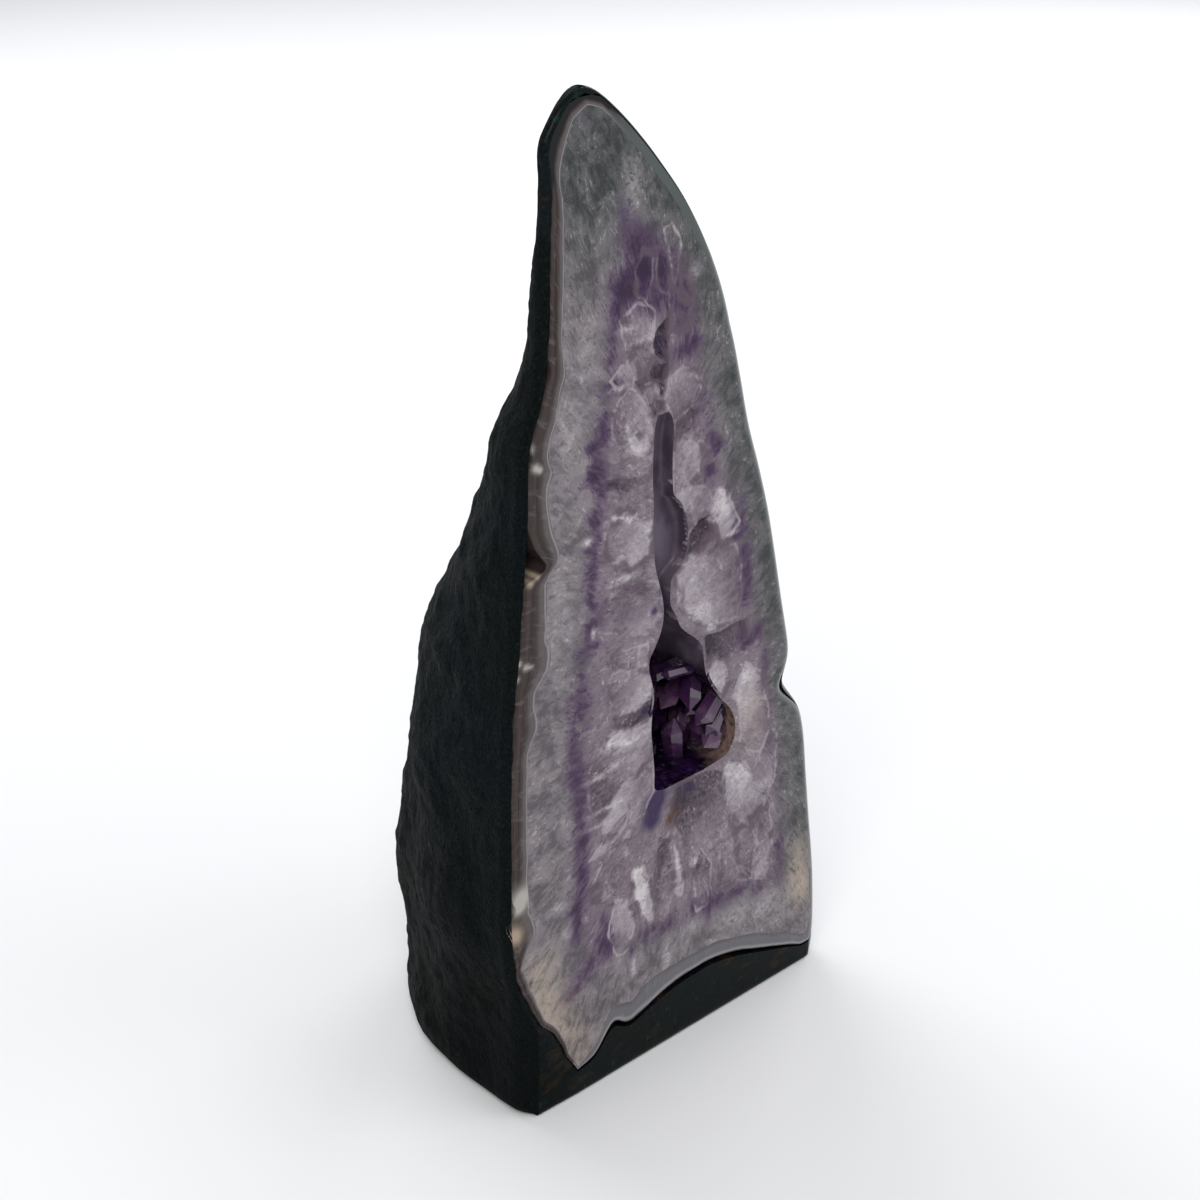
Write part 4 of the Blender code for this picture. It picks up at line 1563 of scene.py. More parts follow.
GROWN_CRYSTALS: tuple = (
    GrownCrystal(tone=0.5, edge=0.8, outline=(
        (36.4, 220), (41, 216), (45, 211), (46.3, 207), (46.4, 201), (45.6, 197.5), (41, 198),
        (34.7, 202.8), (30.8, 206), (30, 212.5), (32.4, 217.2),
    )),
    GrownCrystal(tone=0.8, edge=0.5, outline=(
        (35, 206), (40, 206), (45, 202), (46, 198), (41, 198), (36, 201.5),
    )),
    GrownCrystal(tone=0.44, edge=0.3, outline=(
        (28, 201), (46, 196.5), (46, 190.5), (40, 192.5), (28, 195.5),
    )),
    GrownCrystal(tone=0.14, sunk=0.6, outline=(
        (27, 195.5), (40, 192.5), (41.5, 189.5), (35, 189.5), (28, 192),
    )),
    GrownCrystal(tone=0.95, outline=((29.5, 184.5), (40, 182.5), (41, 180), (30, 181))),
    GrownCrystal(tone=0.64, edge=0.4, outline=(
        (27, 183), (40, 179.5), (46.2, 178), (46.4, 167), (38, 165), (28, 172),
    )),
    GrownCrystal(tone=0.42, edge=0.7, outline=(
        (53, 218), (57.4, 220), (63.8, 218), (65.8, 212), (61.8, 207.8), (57, 206.4), (54.7, 205.2),
        (52.7, 208.4), (51.5, 212.3),
    )),
    GrownCrystal(tone=0.22, edge=0.2, sunk=0.8, outline=(
        (55.4, 204.5), (62, 207), (66, 206), (62, 200), (55.4, 199.6),
    )),
    GrownCrystal(tone=0.58, edge=0.5, outline=(
        (54.8, 199.2), (62, 199.4), (67, 196), (66, 187), (62, 183.6), (56, 182), (55, 184),
    )),
    GrownCrystal(tone=0.52, edge=0.5, outline=(
        (57, 181.5), (62, 183.5), (70, 181), (72, 176), (68, 172.5), (62, 170.5), (60.8, 176),
    )),
    GrownCrystal(tone=0.06, edge=0.4, sunk=2.2, outline=(
        (61.4, 169), (67, 172), (73, 171), (73.5, 166), (68, 163), (61, 159.5),
    )),
    GrownCrystal(tone=0.82, edge=0.9, outline=(
        (71, 172), (74, 179.5), (77, 180), (81, 171), (84, 166), (76, 160.5), (73.5, 166),
    )),
    GrownCrystal(tone=0.56, edge=0.6, outline=(
        (56.6, 157.5), (61, 160.5), (68, 163), (73.5, 165.5), (77, 160), (82, 160), (85, 152),
        (85.5, 142), (83, 135), (78, 133.5), (66, 139.4), (60, 144), (57.4, 150),
    )),
    GrownCrystal(tone=0.0, violet=0.12, sunk=2.0, outline=(
        (46.2, 229), (47.5, 233), (50, 236), (52, 236.5), (52.2, 224.5), (48.5, 225.5), (46.5, 227),
    )),
    GrownCrystal(tone=0.08, violet=0.05, edge=0.3, sunk=1.0, outline=(
        (44.5, 221.5), (47, 225), (52, 224), (51.5, 217), (49, 218), (45, 219),
    )),
    GrownCrystal(tone=0.2, edge=0.5, sunk=0.5, outline=(
        (38.5, 221.5), (43, 222), (44.5, 218), (42, 215.5),
    )),
    GrownCrystal(tone=0.36, edge=0.4, sunk=0.3, outline=(
        (43.5, 220), (46, 219.5), (48, 215), (45, 213), (43, 216),
    )),
    GrownCrystal(tone=0.05, violet=0.05, edge=0.3, sunk=1.0, outline=(
        (48.5, 218), (51.5, 217), (51, 213), (48.5, 214),
    )),
    GrownCrystal(tone=0.18, edge=0.2, sunk=0.8, outline=(
        (45, 212.5), (48, 215), (51, 212.5), (51, 209.2), (46.8, 209.2),
    )),
    GrownCrystal(tone=0.58, violet=0.05, edge=0.9, outline=(
        (30, 223), (33, 227), (37, 228), (40, 225), (38.5, 221), (33, 219.5),
    )),
    GrownCrystal(tone=0.42, edge=0.4, outline=(
        (36, 231), (45, 229.5), (46.2, 226), (44, 223), (40, 225), (38, 229),
    )),
    GrownCrystal(tone=0.52, edge=0.8, outline=(
        (33, 240), (40, 243), (47, 240), (46.5, 232), (36, 231.5),
    )),
    GrownCrystal(tone=0.36, violet=0.05, edge=0.3, outline=(
        (52.6, 243), (57, 243), (62, 238), (61, 232), (55, 231), (52.6, 232),
    )),
    GrownCrystal(tone=0.46, violet=0.05, edge=0.5, outline=(
        (24, 156), (36, 161), (48, 158), (51, 153), (50.5, 146), (46, 142), (36, 145.5), (25, 149),
    )),
    GrownCrystal(tone=0.4, edge=0.6, outline=((30, 141.5), (41, 139.5), (41.5, 133), (30, 134.5))),
    GrownCrystal(tone=0.55, edge=1.0, outline=((41.3, 139.4), (45.4, 139.5), (45.6, 133), (41.6, 133))),
    GrownCrystal(tone=0.62, edge=0.3, outline=(
        (29.5, 133), (42, 132.4), (46.8, 128.5), (47, 121), (40, 119.5), (30, 121),
    )),
    # Painted shadow: the dark strip under the pale block just above it.
    GrownCrystal(tone=0.12, violet=0.05, sunk=0.5, outline=(
        (31, 120.5), (40, 119), (47, 120.5), (46.8, 115), (38, 114.5), (31, 116),
    )),
    GrownCrystal(tone=0.76, edge=0.5, outline=(
        (29, 115.5), (38, 114), (46.8, 114.5), (46.8, 110), (36, 109), (28, 111),
    )),
    GrownCrystal(tone=0.42, edge=0.6, outline=(
        (21, 108.5), (36, 108.5), (47.6, 108.4), (47.8, 100), (36, 97.5), (26, 89), (20.5, 96),
    )),
    GrownCrystal(tone=0.58, violet=0.02, edge=0.6, outline=(
        (36, 97), (47.8, 99), (48.2, 90), (44, 84), (34, 80.5), (27, 82), (26, 88),
    )),
    GrownCrystal(tone=0.28, violet=0.02, edge=0.3, outline=(
        (57, 87.5), (70, 88), (80, 84), (80, 75), (82.5, 66), (80, 60), (72, 56), (66, 60), (60, 68),
        (57, 74), (55.4, 82),
    )),
    GrownCrystal(tone=0.7, edge=0.9, sunk=0.7, outline=(
        (81, 86), (89, 83.5), (92, 78), (92, 74), (101, 67), (102, 65), (95, 62), (89.5, 61), (83, 66),
        (81, 75), (78, 79),
    )),
    GrownCrystal(tone=0.74, edge=0.9, sunk=0.4, outline=(
        (71, 120.5), (74.5, 125), (79.4, 119.5), (81, 113.2), (78.4, 111), (73.5, 114.5),
    )),
    GrownCrystal(tone=0.14, violet=0.08, edge=0.2, sunk=1.6, outline=(
        (70.6, 124.5), (69.4, 133), (80, 132.6), (88, 133.6), (89, 127), (80, 121.5), (77, 122.6),
        (74.5, 126),
    )),
    GrownCrystal(tone=0.6, edge=0.7, outline=(
        (83, 109), (88, 118), (96, 112), (99, 100), (100, 90), (96, 84.5), (90, 86.5), (86, 92),
        (87, 100),
    )),
    GrownCrystal(tone=0.46, edge=0.6, outline=(
        (100, 92), (104, 88), (104, 72), (101, 68), (93, 75), (92.5, 78), (96.5, 84),
    )),
    GrownCrystal(tone=0.62, edge=1.0, outline=(
        (32.4, 58), (29, 51.8), (29.8, 46), (33.2, 37.7), (35.7, 37.3), (37.8, 39.8), (40.3, 45),
        (39.5, 51.4), (37.4, 56.4),
    )),
    GrownCrystal(tone=0.92, edge=0.9, outline=(
        (39.9, 65.7), (44.1, 65.3), (46.6, 58), (49.2, 50.1), (47.5, 41.2), (44.1, 46.8), (41.2, 54.2),
        (39.1, 60.5),
    )),
    GrownCrystal(tone=0.32, violet=0.03, edge=0.3, outline=(
        (50, 73), (56, 70), (57, 50), (54, 40), (50.4, 45), (49.4, 58),
    )),
    GrownCrystal(tone=0.84, edge=1.0, outline=(
        (58, 66.2), (60, 60.6), (62.2, 52.9), (60.5, 46.7), (58, 49.8), (57.6, 58.2),
    )),
    GrownCrystal(tone=0.34, violet=0.02, edge=0.8, outline=(
        (66, 55), (70, 60), (75, 53), (73, 40), (68, 38.5),
    )),
    GrownCrystal(tone=0.44, edge=0.7, outline=((78.4, 63), (83, 63), (86, 58), (86, 41), (78.6, 43))),
    GrownCrystal(tone=0.36, edge=0.6, outline=((87, 60), (93, 60), (95, 52), (94, 39), (87, 41))),
    GrownCrystal(tone=0.5, edge=0.7, outline=((96, 60), (101, 64), (103, 50), (101, 36), (96, 38))),
    GrownCrystal(tone=0.56, edge=0.9, outline=((22, 62), (26, 63.6), (31, 64), (32, 62), (27, 60.6))),
    GrownCrystal(tone=0.5, edge=0.8, outline=((21, 76), (30, 84), (38, 88), (37, 84), (29, 77))),
    GrownCrystal(tone=0.46, edge=0.7, outline=((21, 67), (29, 75), (38, 79), (37, 72), (28, 66))),
    GrownCrystal(tone=0.86, edge=0.9, outline=(
        (50, 262), (53.4, 263), (57.4, 255), (56, 250), (54, 244.5), (52.4, 252),
    )),
    GrownCrystal(tone=0.14, violet=0.1, edge=0.3, outline=(
        (39, 252), (42, 257), (45.6, 256), (46, 248), (43, 243), (40, 245),
    )),
    GrownCrystal(tone=0.18, violet=0.08, edge=0.3, outline=(
        (47, 257), (51, 256), (53, 249), (51.6, 243), (48, 245),
    )),
    GrownCrystal(tone=0.28, violet=0.05, edge=0.5, outline=(
        (57, 247), (60, 246), (63, 241), (60, 238), (56, 241),
    )),
)


def signed_distance(points: np.ndarray, outline: tuple) -> np.ndarray:
    """Distance of points from a closed outline, negative inside it.

    Args:
        points: x and z of each point.
        outline: Corners of the outline.

    Returns:
        The distances.
    """
    line = np.array(outline, float)
    nearest = np.full(len(points), 1e9)
    inside = np.zeros(len(points), bool)
    for start, end in zip(line, np.roll(line, -1, axis=0)):
        run = end - start
        share = np.clip(((points - start) @ run) / (run @ run), 0, 1)
        gap = points - (start + share[:, None] * run)
        nearest = np.minimum(nearest, np.hypot(gap[:, 0], gap[:, 1]))
        spans = (start[1] > points[:, 1]) != (end[1] > points[:, 1])
        rise = run[1] if run[1] else 1e-9
        crossing = start[0] + (points[:, 1] - start[1]) * run[0] / rise
        inside ^= spans & (points[:, 0] < crossing)
    return np.where(inside, -nearest, nearest)


@dataclass
class QuartzLining(RingBody):
    """The quartz between agate and hollow, with its purple zone and the crystals cut by the face."""

    purple_line: tuple = (
        (20, 41), (17.5, 50), (16.5, 60), (16.2, 75), (16.5, 90), (17.5, 110), (18.5, 135),
        (20.5, 152), (21.5, 165), (22.5, 180), (24.5, 196), (26, 208), (29, 221), (31, 235),
        (34, 248), (38, 260), (45, 255), (51, 246), (58, 238), (64, 227), (67, 215), (70, 202),
        (74, 190), (79.5, 178), (83, 165), (86.5, 150), (90.5, 138), (94.5, 126), (98.5, 115),
        (101.5, 101), (104, 86), (105.5, 70), (107, 50), (107.5, 34), (100, 34.5), (85, 37.5),
        (70, 36), (50, 36.5), (33, 41), (27, 36),
    )
    warm_spots: tuple = (
        (-3, 46, 6, 7, 0.55), (3, 34, 7, 8, 0.8), (10, 24, 7, 7, 0.75), (17, 12, 5, 7, 0.75),
        (3, 48, 6, 7, 0.3), (116, 34, 5, 10, 0.75), (119, 24, 4, 7, 0.7), (81, 97, 3, 8, 0.3),
        (92, 98, 7, 12, 0.3),
    )
    rust_spots: tuple = ((55.5, 77, 2.0, 2.6, 0.9), (58, 79.5, 1.6, 1.4, 0.6), (-5, 42, 1.6, 2, 0.3))
    purple_patches: tuple = (
        (17.5, 95.5, 3, 7, 0.8), (18.5, 84, 3, 6, 0.9), (17.5, 74, 3, 7, 0.85), (16.5, 63, 3, 6, 0.85),
        (15.5, 56, 2.5, 5, 0.7), (12.5, 52, 4, 5, 0.45), (16, 106, 3.5, 6, 0.95),
        (15, 117, 2.5, 6, 0.8), (17.5, 129, 4, 5, 1.1), (18.5, 138, 3, 5, 0.6), (21, 145.5, 5, 2, 0.75),
        (22, 152, 3, 2.5, 0.9), (22, 161, 3, 6, 0.7), (22.5, 170, 3, 6, 0.85),
        (23.5, 177, 2.5, 3.5, 0.6), (24, 184, 3, 3.5, 0.85), (26, 192, 2.5, 5, 0.85),
        (22.5, 196.5, 3, 3, 0.95), (25, 200, 3, 3.5, 0.7), (22.5, 205.5, 2, 1.5, 1.2),
        (26, 209, 3, 3.5, 1.0), (28, 214, 2.5, 5, 0.6), (31, 221.5, 4, 2, 1.0),
        (29, 229, 2.5, 3.5, 0.85), (30.5, 236, 2.5, 5, 0.6), (32, 243, 3, 5, 0.8), (34, 249, 4, 4, 1.1),
        (37.5, 246, 2.5, 2.5, 0.8), (42.5, 252, 4, 6, 1.4), (49.5, 251, 4, 7, 1.1),
        (39, 261, 4, 7, 0.9), (35, 268, 3, 7, 0.6), (46, 241, 4, 2.5, 0.8), (57, 244, 5, 6, 0.9),
        (59, 238, 4, 3.5, 0.65), (58.5, 225, 5.5, 5, 0.95), (62.5, 227.5, 3, 3, 0.8),
        (66, 209, 3, 6, 0.6), (71, 196, 3, 7, 0.8), (70, 186, 3, 3.5, 1.0), (74, 193, 2, 2, 0.9),
        (79.5, 175.5, 3, 5, 0.6), (84.5, 167, 3, 6, 0.8), (81.5, 163, 2, 2.5, 1.2),
        (85.5, 154, 3, 6, 0.75), (88, 148, 2.5, 6, 0.75), (87, 141, 2, 3.5, 0.9),
        (88.5, 125, 4, 3, 1.0), (93, 127, 3, 3.5, 0.7), (96, 109, 3, 7, 0.5), (99, 98, 3, 6, 0.6),
        (97.5, 117, 2.5, 6, 0.55), (100.5, 84, 2.5, 6, 0.5), (104.5, 75, 2.5, 6, 0.5),
        (106, 62, 3, 7, 0.45), (107, 45, 3, 7, 0.85), (107.5, 33, 3, 3.5, 0.7), (98, 34, 4, 3, 0.9),
        (87.5, 37, 5.5, 2.5, 1.1), (78, 38.5, 4, 3, 0.9), (73.5, 39, 2, 6, 0.8),
        (66.5, 41.5, 2.5, 5.5, 0.75), (55, 39, 5, 3.5, 0.8), (45.5, 40, 4, 3, 0.8),
        (39, 37.5, 3, 3, 0.6), (27.5, 46, 3, 5, 1.1), (21, 40, 4, 4, 0.8), (15, 34.5, 3.5, 3, 0.85),
        (11.5, 31.5, 2.5, 3, 0.6), (30.5, 42.5, 2.5, 3.5, 0.6), (26.5, 54, 5, 5, 0.35),
        (35, 150, 11, 6, 0.25), (70, 128, 6, 3.5, 0.2), (63, 88, 6, 2.5, 0.4),
    )
    violet_spots: tuple = (
        (50, 86, 4.6, 4.0, 1.0), (47, 80, 4.6, 5.0, 0.8), (46.6, 100, 2.2, 5, 0.45),
        (45.5, 117, 3, 1.6, 0.6), (47.2, 148.4, 1.9, 1.8, 0.7), (50.2, 151, 1.2, 6, 0.4),
        (59.4, 150, 1.4, 5, 0.45), (64.2, 84.8, 3.0, 2.2, 0.6), (50.2, 229, 2.4, 4, 0.35),
    )
    # White veils and clouds in the quartz; the spot at x 88, height 114 is a painted glint, a sparkle on a
    # crystal right of the hollow.
    white_spots: tuple = (
        (44, 53, 1.0, 6, 1.0), (29, 91.5, 6, 0.7, 0.7), (33, 110.5, 6, 1.4, 0.6),
        (35, 163, 5, 1.0, 0.7), (66, 142.5, 4.4, 2.6, 0.6), (72, 135.6, 2, 1.2, 0.8),
        (78, 171, 2.2, 2.2, 0.7), (80, 163.4, 3, 0.7, 0.9), (88, 114, 1.8, 2.4, 0.8),
        (66.5, 57, 1.2, 1.4, 1.0), (40, 200.4, 4, 1.2, 0.6), (36, 207.6, 1.4, 2, 0.6),
        (24, 87, 4, 0.7, 0.6), (25, 103, 5, 0.9, 0.7), (32, 104.5, 3, 0.8, 0.6),
        (33, 220.5, 4, 0.8, 0.7), (36, 236.6, 4, 0.9, 0.6), (43, 232, 5, 0.6, 0.7),
        (38, 276, 3.4, 8, 0.35), (20.6, 178.6, 2, 1.0, 0.9), (23, 150, 0.9, 1.6, 0.9),
        (62.6, 247, 2, 2, 0.4), (8, 66, 3, 1.5, 0.6), (12, 55, 2, 3, 0.4), (55, 27, 2, 6, 0.5),
        (40, 31, 1.0, 4, 0.5), (84, 29, 8, 4.5, 0.36), (100, 26, 7, 5, 0.34), (66, 33, 5, 3, 0.3),
        (110, 22, 4, 6, 0.2), (14, 215, 5, 12, 0.25), (10, 160, 5, 12, 0.25), (22, 233, 4, 8, 0.25),
        (56, 60, 3, 2, 0.2),
    )
    crack: tuple = ((51.2, 244), (52.2, 244), (52.4, 237), (51.6, 236))
    crack_half: float = 0.3
    plain_tone: float = 0.42
    facet_turn: float = 2.4
    facet_slant: float = 0.026
    most_slant: float = 0.17
    soft_edge: float = 0.9
    seam_reach: float = 1.5
    purple_fall: float = 0.62
    bend_seed: int = 1795862342

    def bent(self, points: np.ndarray) -> np.ndarray:
        """Points shifted a little at random, so that what is drawn from them looks grown.

        Args:
            points: x and z of each point.

        Returns:
            The shifted points.
        """
        # Blender seeds its vector noise from the clock until a seed is set.
        noise.seed_set(self.bend_seed)
        shifts = []
        for x, z in points.tolist():
            place = Vector((x, 3.0, z))
            shift = noise.noise_vector(place / 5.0) * 1.1 + noise.noise_vector(place / 1.9) * 0.45
            shifts.append((shift.x, shift.z))
        return points + np.array(shifts)

    def crystal_fields(self, points: np.ndarray) -> dict:
        """Tone, purple, seam, pale edge and open depth that the cut crystals give each point; the pale
        edge is a painted highlight.

        Args:
            points: x and z of each point.

        Returns:
            The named fields, one number for each point.
        """
        count = len(points)
        tone, violet, edge = np.full(count, self.plain_tone), np.zeros(count), np.zeros(count)
        seam, sunk = np.full(count, 4.0), np.zeros(count)
        for number, crystal in enumerate(GROWN_CRYSTALS):
            distance = signed_distance(points, crystal.outline)
            cover = np.clip(0.5 - distance / self.soft_edge, 0, 1)
            away = points - np.array(crystal.outline).mean(axis=0)
            turn = number * self.facet_turn
            slant = (away[:, 0] * math.cos(turn) + away[:, 1] * math.sin(turn)) * self.facet_slant
            slant = np.clip(slant, -self.most_slant, self.most_slant)
            tone = tone + (crystal.tone + slant - tone) * cover
            violet = violet + (crystal.violet * 2 - violet) * cover
            near = np.abs(distance)
            # Painted highlight: strength of the pale line along the nearest boundary.
            edge = np.where(near < np.minimum(seam, self.seam_reach), crystal.edge, edge)
            seam = np.minimum(seam, near)
            if crystal.sunk:
                bowl = np.minimum(crystal.sunk, np.maximum(-distance, 0) * 1.2)
                sunk = np.maximum(sunk, bowl)
        cracked = signed_distance(points, self.crack)
        tone = np.where(cracked < self.crack_half, 0.0, tone)
        return {"tone": tone, "violet": violet, "seam": seam, "edge": edge, "sunk": sunk}

    def spots(self, points: np.ndarray, places: tuple, fall: float = 1.0) -> np.ndarray:
        """Sum of soft spots at each point.

        Args:
            points: x and z of each point.
            places: x, z, width, height and strength of each spot.
            fall: How its strength falls away; less than 1 leaves it a longer tail.

        Returns:
            The sum at each point.
        """
        total = np.zeros(len(points))
        for x, z, wide, high, strength in places:
            gap = ((points[:, 0] - x) / wide) ** 2 + ((points[:, 1] - z) / high) ** 2
            total += strength * np.exp(-(gap**fall))
        return total

    def build(self, material: bpy.types.Material) -> bpy.types.Object:
        """Build the quartz with the fields that its material reads.

        Args:
            material: The quartz with its amethyst.

        Returns:
            The dressed object.
        """
        names = (
            "band", "tone", "violet", "seam", "edge", "smoke", "purple", "warm", "rust", "white", "open"
        )
        bm, ring, rows = self.shape(RINGS.agate_inner, RINGS.edge, names)
        verts = list(ring.values())
        points = np.array([rows[row][column] for column, row in ring], float)
        band = signed_distance(points, self.purple_line)
        bent = self.bent(points)
        grown = self.crystal_fields(bent)
        x, z = points[:, 0], points[:, 1]
        right = np.array([FORM.room_right(float(h)) for h in z])
        # Smoke field: painted shade rising towards the right rim, where the face curves away over the dark
        # rock, and a darker grey towards the top.
        smoke = np.clip(1.3 - (right - x) / 16, 0, 1) * np.clip((z - 10) / 34, 0, 1)
        smoke = np.maximum(smoke, np.clip((z - 240) / 34, 0, 1) * 0.95)
        fields = {
            "band": band / 10,
            "tone": grown["tone"],
            "violet": np.maximum(grown["violet"], self.spots(bent, self.violet_spots)),
            "seam": grown["seam"],
            "edge": grown["edge"],
            "smoke": smoke,
            "purple": self.spots(bent, self.purple_patches, self.purple_fall),
            "warm": self.spots(points, self.warm_spots),
            "rust": self.spots(points, self.rust_spots),
            "white": self.spots(points, self.white_spots),
            "open": np.clip(grown["sunk"], 0, 1),
        }
        on_face = np.array([row < self.front_rows for _, row in ring])
        sunk = np.where(on_face, grown["sunk"], 0.0)
        for vert, depth in zip(verts, sunk.tolist()):
            vert.co.y += depth
        table = {
            name: dict(zip(verts, values.astype(float).tolist())) for name, values in fields.items()
        }
        return self.close(bm, ring, rows, RINGS.along, table, [material])


@dataclass
class HollowCrust:
    """The crust that lines the hollow and the slot."""

    depths: tuple = (
        (88, 0.3), (89, 6), (91, 14), (97, 29), (112, 35), (122, 30), (131, 21), (137, 12), (142, 8),
        (150, 6.5), (160, 4.6), (180, 4.8), (190, 4.4), (203, 4.0), (208.6, 1.6),
    )
    columns: int = 26
    rows: int = 150
    wall: float = 1.1

    def point(self, turn: float, height: float, thick: float) -> Vector:
        """Point of the crust's surface, from its right edge round the back to its left edge.

        Args:
            turn: 0 at the right edge, 1 at the left edge.
            height: Height of the point.
            thick: How far outside the crust's surface it is.

        Returns:
            The point.
        """
        left = smooth_value(RINGS.hollow, height, 1) - thick
        right = smooth_value(RINGS.hollow, height, 2) + thick
        depth = smooth_value(self.depths, height, 1) + thick
        slot = portion(height, 136, 144)
        x, y = rounded_back(turn, left, right, 0.0, depth, 2.3 + 3.2 * slot)
        if slot > 0.5:
            ridge = 60.0 if height < 186 else 50.0
            y -= slot * 0.10 * abs(x - ridge) * (1 if x < ridge else -0.4)
        return Vector((x, max(y, 0.0), height))

    def build(self, material: bpy.types.Material) -> bpy.types.Object:
        """Build the crust as a closed bowl with its slot field.

        Args:
            material: The amethyst crust.

        Returns:
            The dressed object.
        """
        low, high = RINGS.hollow[0][0], RINGS.hollow[-1][0]
        columns = 2 * self.columns + 2
        bm, ring = wrapped_grid(columns, self.rows, False, ("slot", "cream"))
        for row in (0, self.rows):
            for near in range(self.columns):
                far = columns - 1 - near
                bm.faces.new([ring[c, row] for c in (near, near + 1, far - 1, far)])
        slot, cream = bm.verts.layers.float["slot"], bm.verts.layers.float["cream"]
        for (column, row), vert in ring.items():
            height = low + (high - low) * row / self.rows
            outer = column > self.columns
            turn = (columns - 1 - column if outer else column) / self.columns
            thick = self.wall if outer else 0.0
            point = self.point(turn, height, thick)
            if outer:
                end = height if 0 < row < self.rows else height + (self.wall if row else -self.wall)
                point = Vector((point.x, point.y + 0.05, end))
            on_wall = portion(height, 119, 125) * portion(point.x, 50, 55)
            vert[slot] = max(portion(height, 137, 142), on_wall)
            on_right = portion(point.x, 74, 79) * portion(height, 116, 108)
            vert[cream] = on_right * portion(point.y, 13, 7)
            vert.co = FORM.place(point)
        bmesh.ops.recalc_face_normals(bm, faces=bm.faces)
        return finished_object(
            "hollow_crust", bm, ("cavity_crystals",), [material], 50.0
        )


@dataclass
class HollowCrystals:
    """The single pointed crystals of the hollow."""

    crust: HollowCrust
    seed: int = 11
    rows: int = 9
    columns: int = 13
    radius: Point = (1.7, 3.9)
    length: Point = (3.5, 9.0)
    root: float = 2.0
    top: float = 137.0
    middle: tuple = (64, 6, 108)
    lean: float = 0.4
    point_height: float = 1.05
    behind_face: float = 0.8

    def add(
        self, bm: bmesh.types.BMesh, root: Vector, way: Vector, radius: float, length: float, turn: float
    ) -> list:
        """Add one six-sided pointed crystal.

        Args:
            bm: Mesh to add it to.
            root: Middle of its foot.
            way: Direction of growth.
            radius: Radius of its prism.
            length: Length of its prism.
            turn: Turn about its own axis.

        Returns:
            Its vertices.
        """
        made = bmesh.ops.create_cone(
            bm, cap_ends=True, segments=6, radius1=radius * 0.84, radius2=radius, depth=length
        )
        top = [v for v in made["verts"] if v.co.z > 0]
        cap = next(f for f in top[0].link_faces if all(v in top for v in f.verts))
        point = bmesh.ops.poke(bm, faces=[cap])["verts"][0]
        point.co += Vector((radius * 0.22, radius * 0.1, radius * self.point_height))
        placing = way.to_track_quat("Z", "Y").to_matrix().to_4x4()
        placing = Matrix.Translation(root) @ placing @ Matrix.Rotation(turn, 4, "Z")
        verts = made["verts"] + [point]
        bmesh.ops.translate(bm, verts=verts, vec=(0, 0, length / 2))
        bmesh.ops.transform(bm, matrix=placing, verts=verts)
        return verts

    def build(self, material: bpy.types.Material) -> bpy.types.Object:
        """Build the crystals with the deep field that their material reads: partly their purple, partly
        painted shade.

        Args:
            material: The amethyst crystal.

        Returns:
            The dressed object.
        """
        draw = random.Random(self.seed)
        bm = bmesh.new()
        deep = bm.verts.layers.float.new("deep")
        low, high = RINGS.hollow[0][0] + 1.5, self.top
        for row in range(self.rows):
            for column in range(self.columns):
                height = low + (high - low) * (row + draw.uniform(0.1, 0.9)) / self.rows
                turn = (column + draw.uniform(0.15, 0.85)) / self.columns
                spot = self.crust.point(turn, height, 0.0)
                along = self.crust.point(min(turn + 0.02, 1), height, 0.0) - spot
                up = self.crust.point(turn, height + 0.5, 0.0) - spot
                inward = up.cross(along).normalized()
                if inward.dot(Vector(self.middle) - spot) < 0:
                    inward = -inward
                lean = Vector([draw.uniform(-1, 1) for _ in range(3)]) * self.lean
                way = (inward + lean).normalized()
                radius = draw.uniform(*self.radius)
                length = draw.uniform(*self.length)
                tip = spot + way * (length + radius * self.point_height)
                if tip.y < self.behind_face:
                    way = (way + Vector((0, 0.9, 0))).normalized()
                    length *= 0.7
                    tip = spot + way * (length + radius * self.point_height)
                shows = tip.y < self.behind_face or spot.y < 1.2 + radius * 0.8
                if shows or (height > 121 and spot.x > 52) or (spot.x < 54 and spot.y < 16):
                    continue
                # Painted shade in the deep field: near black on the hollow's left side, lighter towards
                # its right, and darker towards each crystal's root.
                shade = 1.4 + draw.uniform(-0.2, 0.2)
                shade -= portion(spot.x, 59, 71)
                root = spot - way * self.root
                verts = self.add(bm, root, way, radius, length + self.root, draw.uniform(0, math.pi))
                for vert in verts:
                    climb = min((vert.co - root).length / (length + self.root), 1.0)
                    vert[deep] = shade + 0.25 - 0.35 * climb
        for vert in bm.verts:
            vert.co = FORM.place(vert.co)
        bmesh.ops.recalc_face_normals(bm, faces=bm.faces)
        return finished_object("hollow_crystals", bm, (), [material], 20.0)


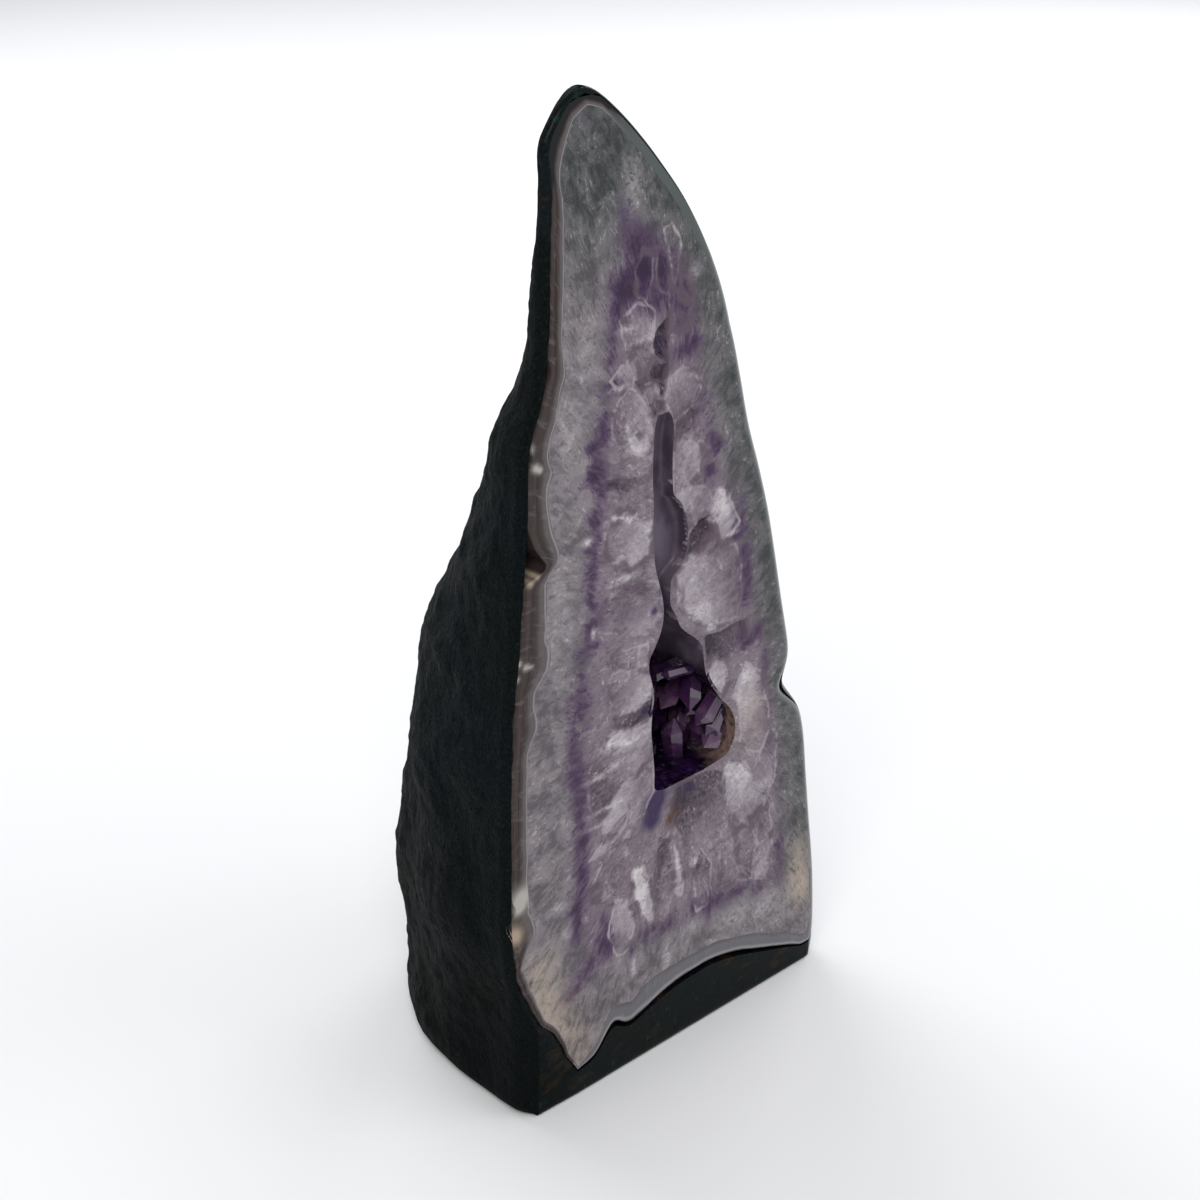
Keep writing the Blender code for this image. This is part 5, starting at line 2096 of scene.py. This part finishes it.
@dataclass(frozen=True)
class Studio:
    """Camera of the reference view, pale floor and soft lights."""

    camera_mm: tuple = (-411.16, -436.70, 446.81)
    turn: float = -45.0
    down: float = 24.94
    lens: float = 72.95
    floor: Colour = (0.80, 0.80, 0.80)
    floor_half: float = 6.0
    aim: tuple = (0.0, 0.0, 0.15)
    lights: tuple = (
        ("key", (-0.95, -0.80, 1.25), (0.8, 0.8), 13.5, (1.0, 0.99, 0.97)),
        ("fill", (0.9, -1.3, 0.9), (1.4, 1.4), 9.0, (0.96, 0.98, 1.0)),
        ("back", (0.3, 1.3, 1.1), (1.4, 1.0), 15.0, (0.97, 0.98, 1.0)),
        ("side", (1.5, 0.4, 0.8), (1.0, 1.0), 9.0, (0.97, 0.98, 1.0)),
    )
    room: Colour = (0.93, 0.95, 1.0)
    room_strength: float = 0.5

    def camera(self) -> None:
        """Create the camera at the reference view and use it."""
        data = bpy.data.cameras.new("reference_view")
        data.lens = self.lens
        data.sensor_width = 36.0
        data.clip_start = 0.01
        camera = bpy.data.objects.new("reference_view", data)
        x, y, z = self.camera_mm
        low = CAD_BOX[0]
        up = z - FORM.foot_level
        camera.location = ((x - FORM.middle_x) * MM, y * MM + low.y, up * MM)
        camera.rotation_euler = (math.radians(90 - self.down), 0.0, math.radians(self.turn))
        bpy.context.scene.collection.objects.link(camera)
        bpy.context.scene.camera = camera

    def area_light(self, name: str, place: Vector, size: Point, power: float, colour: Colour) -> None:
        """Soft rectangular light that looks at the middle of the stone.

        Args:
            name: Name of the light.
            place: Its position in metres.
            size: Its width and height in metres.
            power: Its power in watts.
            colour: Its colour.
        """
        data = bpy.data.lights.new(name, "AREA")
        data.shape = "RECTANGLE"
        data.size, data.size_y = size
        data.energy = power
        data.color = colour
        light = bpy.data.objects.new(name, data)
        light.location = place
        way = Vector(self.aim) - place
        light.rotation_euler = way.to_track_quat("-Z", "Y").to_euler()
        bpy.context.scene.collection.objects.link(light)

    def floor_sheet(self) -> None:
        """Plain pale floor with a soft grain of its own."""
        bm = bmesh.new()
        bmesh.ops.create_grid(bm, x_segments=8, y_segments=8, size=self.floor_half)
        mesh = bpy.data.meshes.new("floor")
        bm.to_mesh(mesh)
        bm.free()
        material = bpy.data.materials.new("pale_floor")
        material.use_nodes = True
        draw = Sketch(material.node_tree)
        shader = material.node_tree.nodes["Principled BSDF"]
        cloud = draw.noise(draw.object_mm(), 0.004, 2.0)
        tint = draw.mix(cloud, self.floor, tuple(part * 0.985 for part in self.floor))
        draw.feed(shader.inputs["Base Color"], tint)
        shader.inputs["Roughness"].default_value = 0.9
        mesh.materials.append(material)
        floor = bpy.data.objects.new("floor", mesh)
        bpy.context.scene.collection.objects.link(floor)

    def build(self) -> None:
        """Set up camera, floor, lights and surroundings."""
        self.camera()
        self.floor_sheet()
        for name, place, size, power, colour in self.lights:
            self.area_light(name, Vector(place), size, power, colour)
        world = bpy.data.worlds.new("soft_room")
        world.use_nodes = True
        sky = world.node_tree.nodes["Background"]
        sky.inputs["Color"].default_value = (*self.room, 1.0)
        sky.inputs["Strength"].default_value = self.room_strength
        bpy.context.scene.world = world
        bpy.context.scene.view_settings.view_transform = "Standard"


def main() -> None:
    """Build and dress the stone, then set up the studio."""
    logging.basicConfig(level=logging.INFO, format="%(message)s")
    fibres = growth_fibre_group()
    grain = rock_grain_group()
    RINGS.build()
    rough = RockFinish("rough_rock").material(grain, Polish.ROUGH)
    polished = RockFinish("polished_rock").material(grain, Polish.POLISHED)
    RockShell().build([rough, polished])
    agate = AgateFinish("banded_agate").material(fibres)
    AgateBand("agate_rim", "agate_band", "agate", 12, 0.0).build(agate)
    quartz = QuartzFinish("quartz_with_amethyst").material(fibres)
    QuartzLining("quartz_body", "quartz_lining", "quartz", 80, 4.8).build(quartz)
    crust = HollowCrust()
    crust.build(AmethystFinish("amethyst_crust").crust())
    HollowCrystals(crust).build(AmethystFinish("amethyst_crystal").crystal())
    Studio().build()


if __name__ == "__main__":
    main()
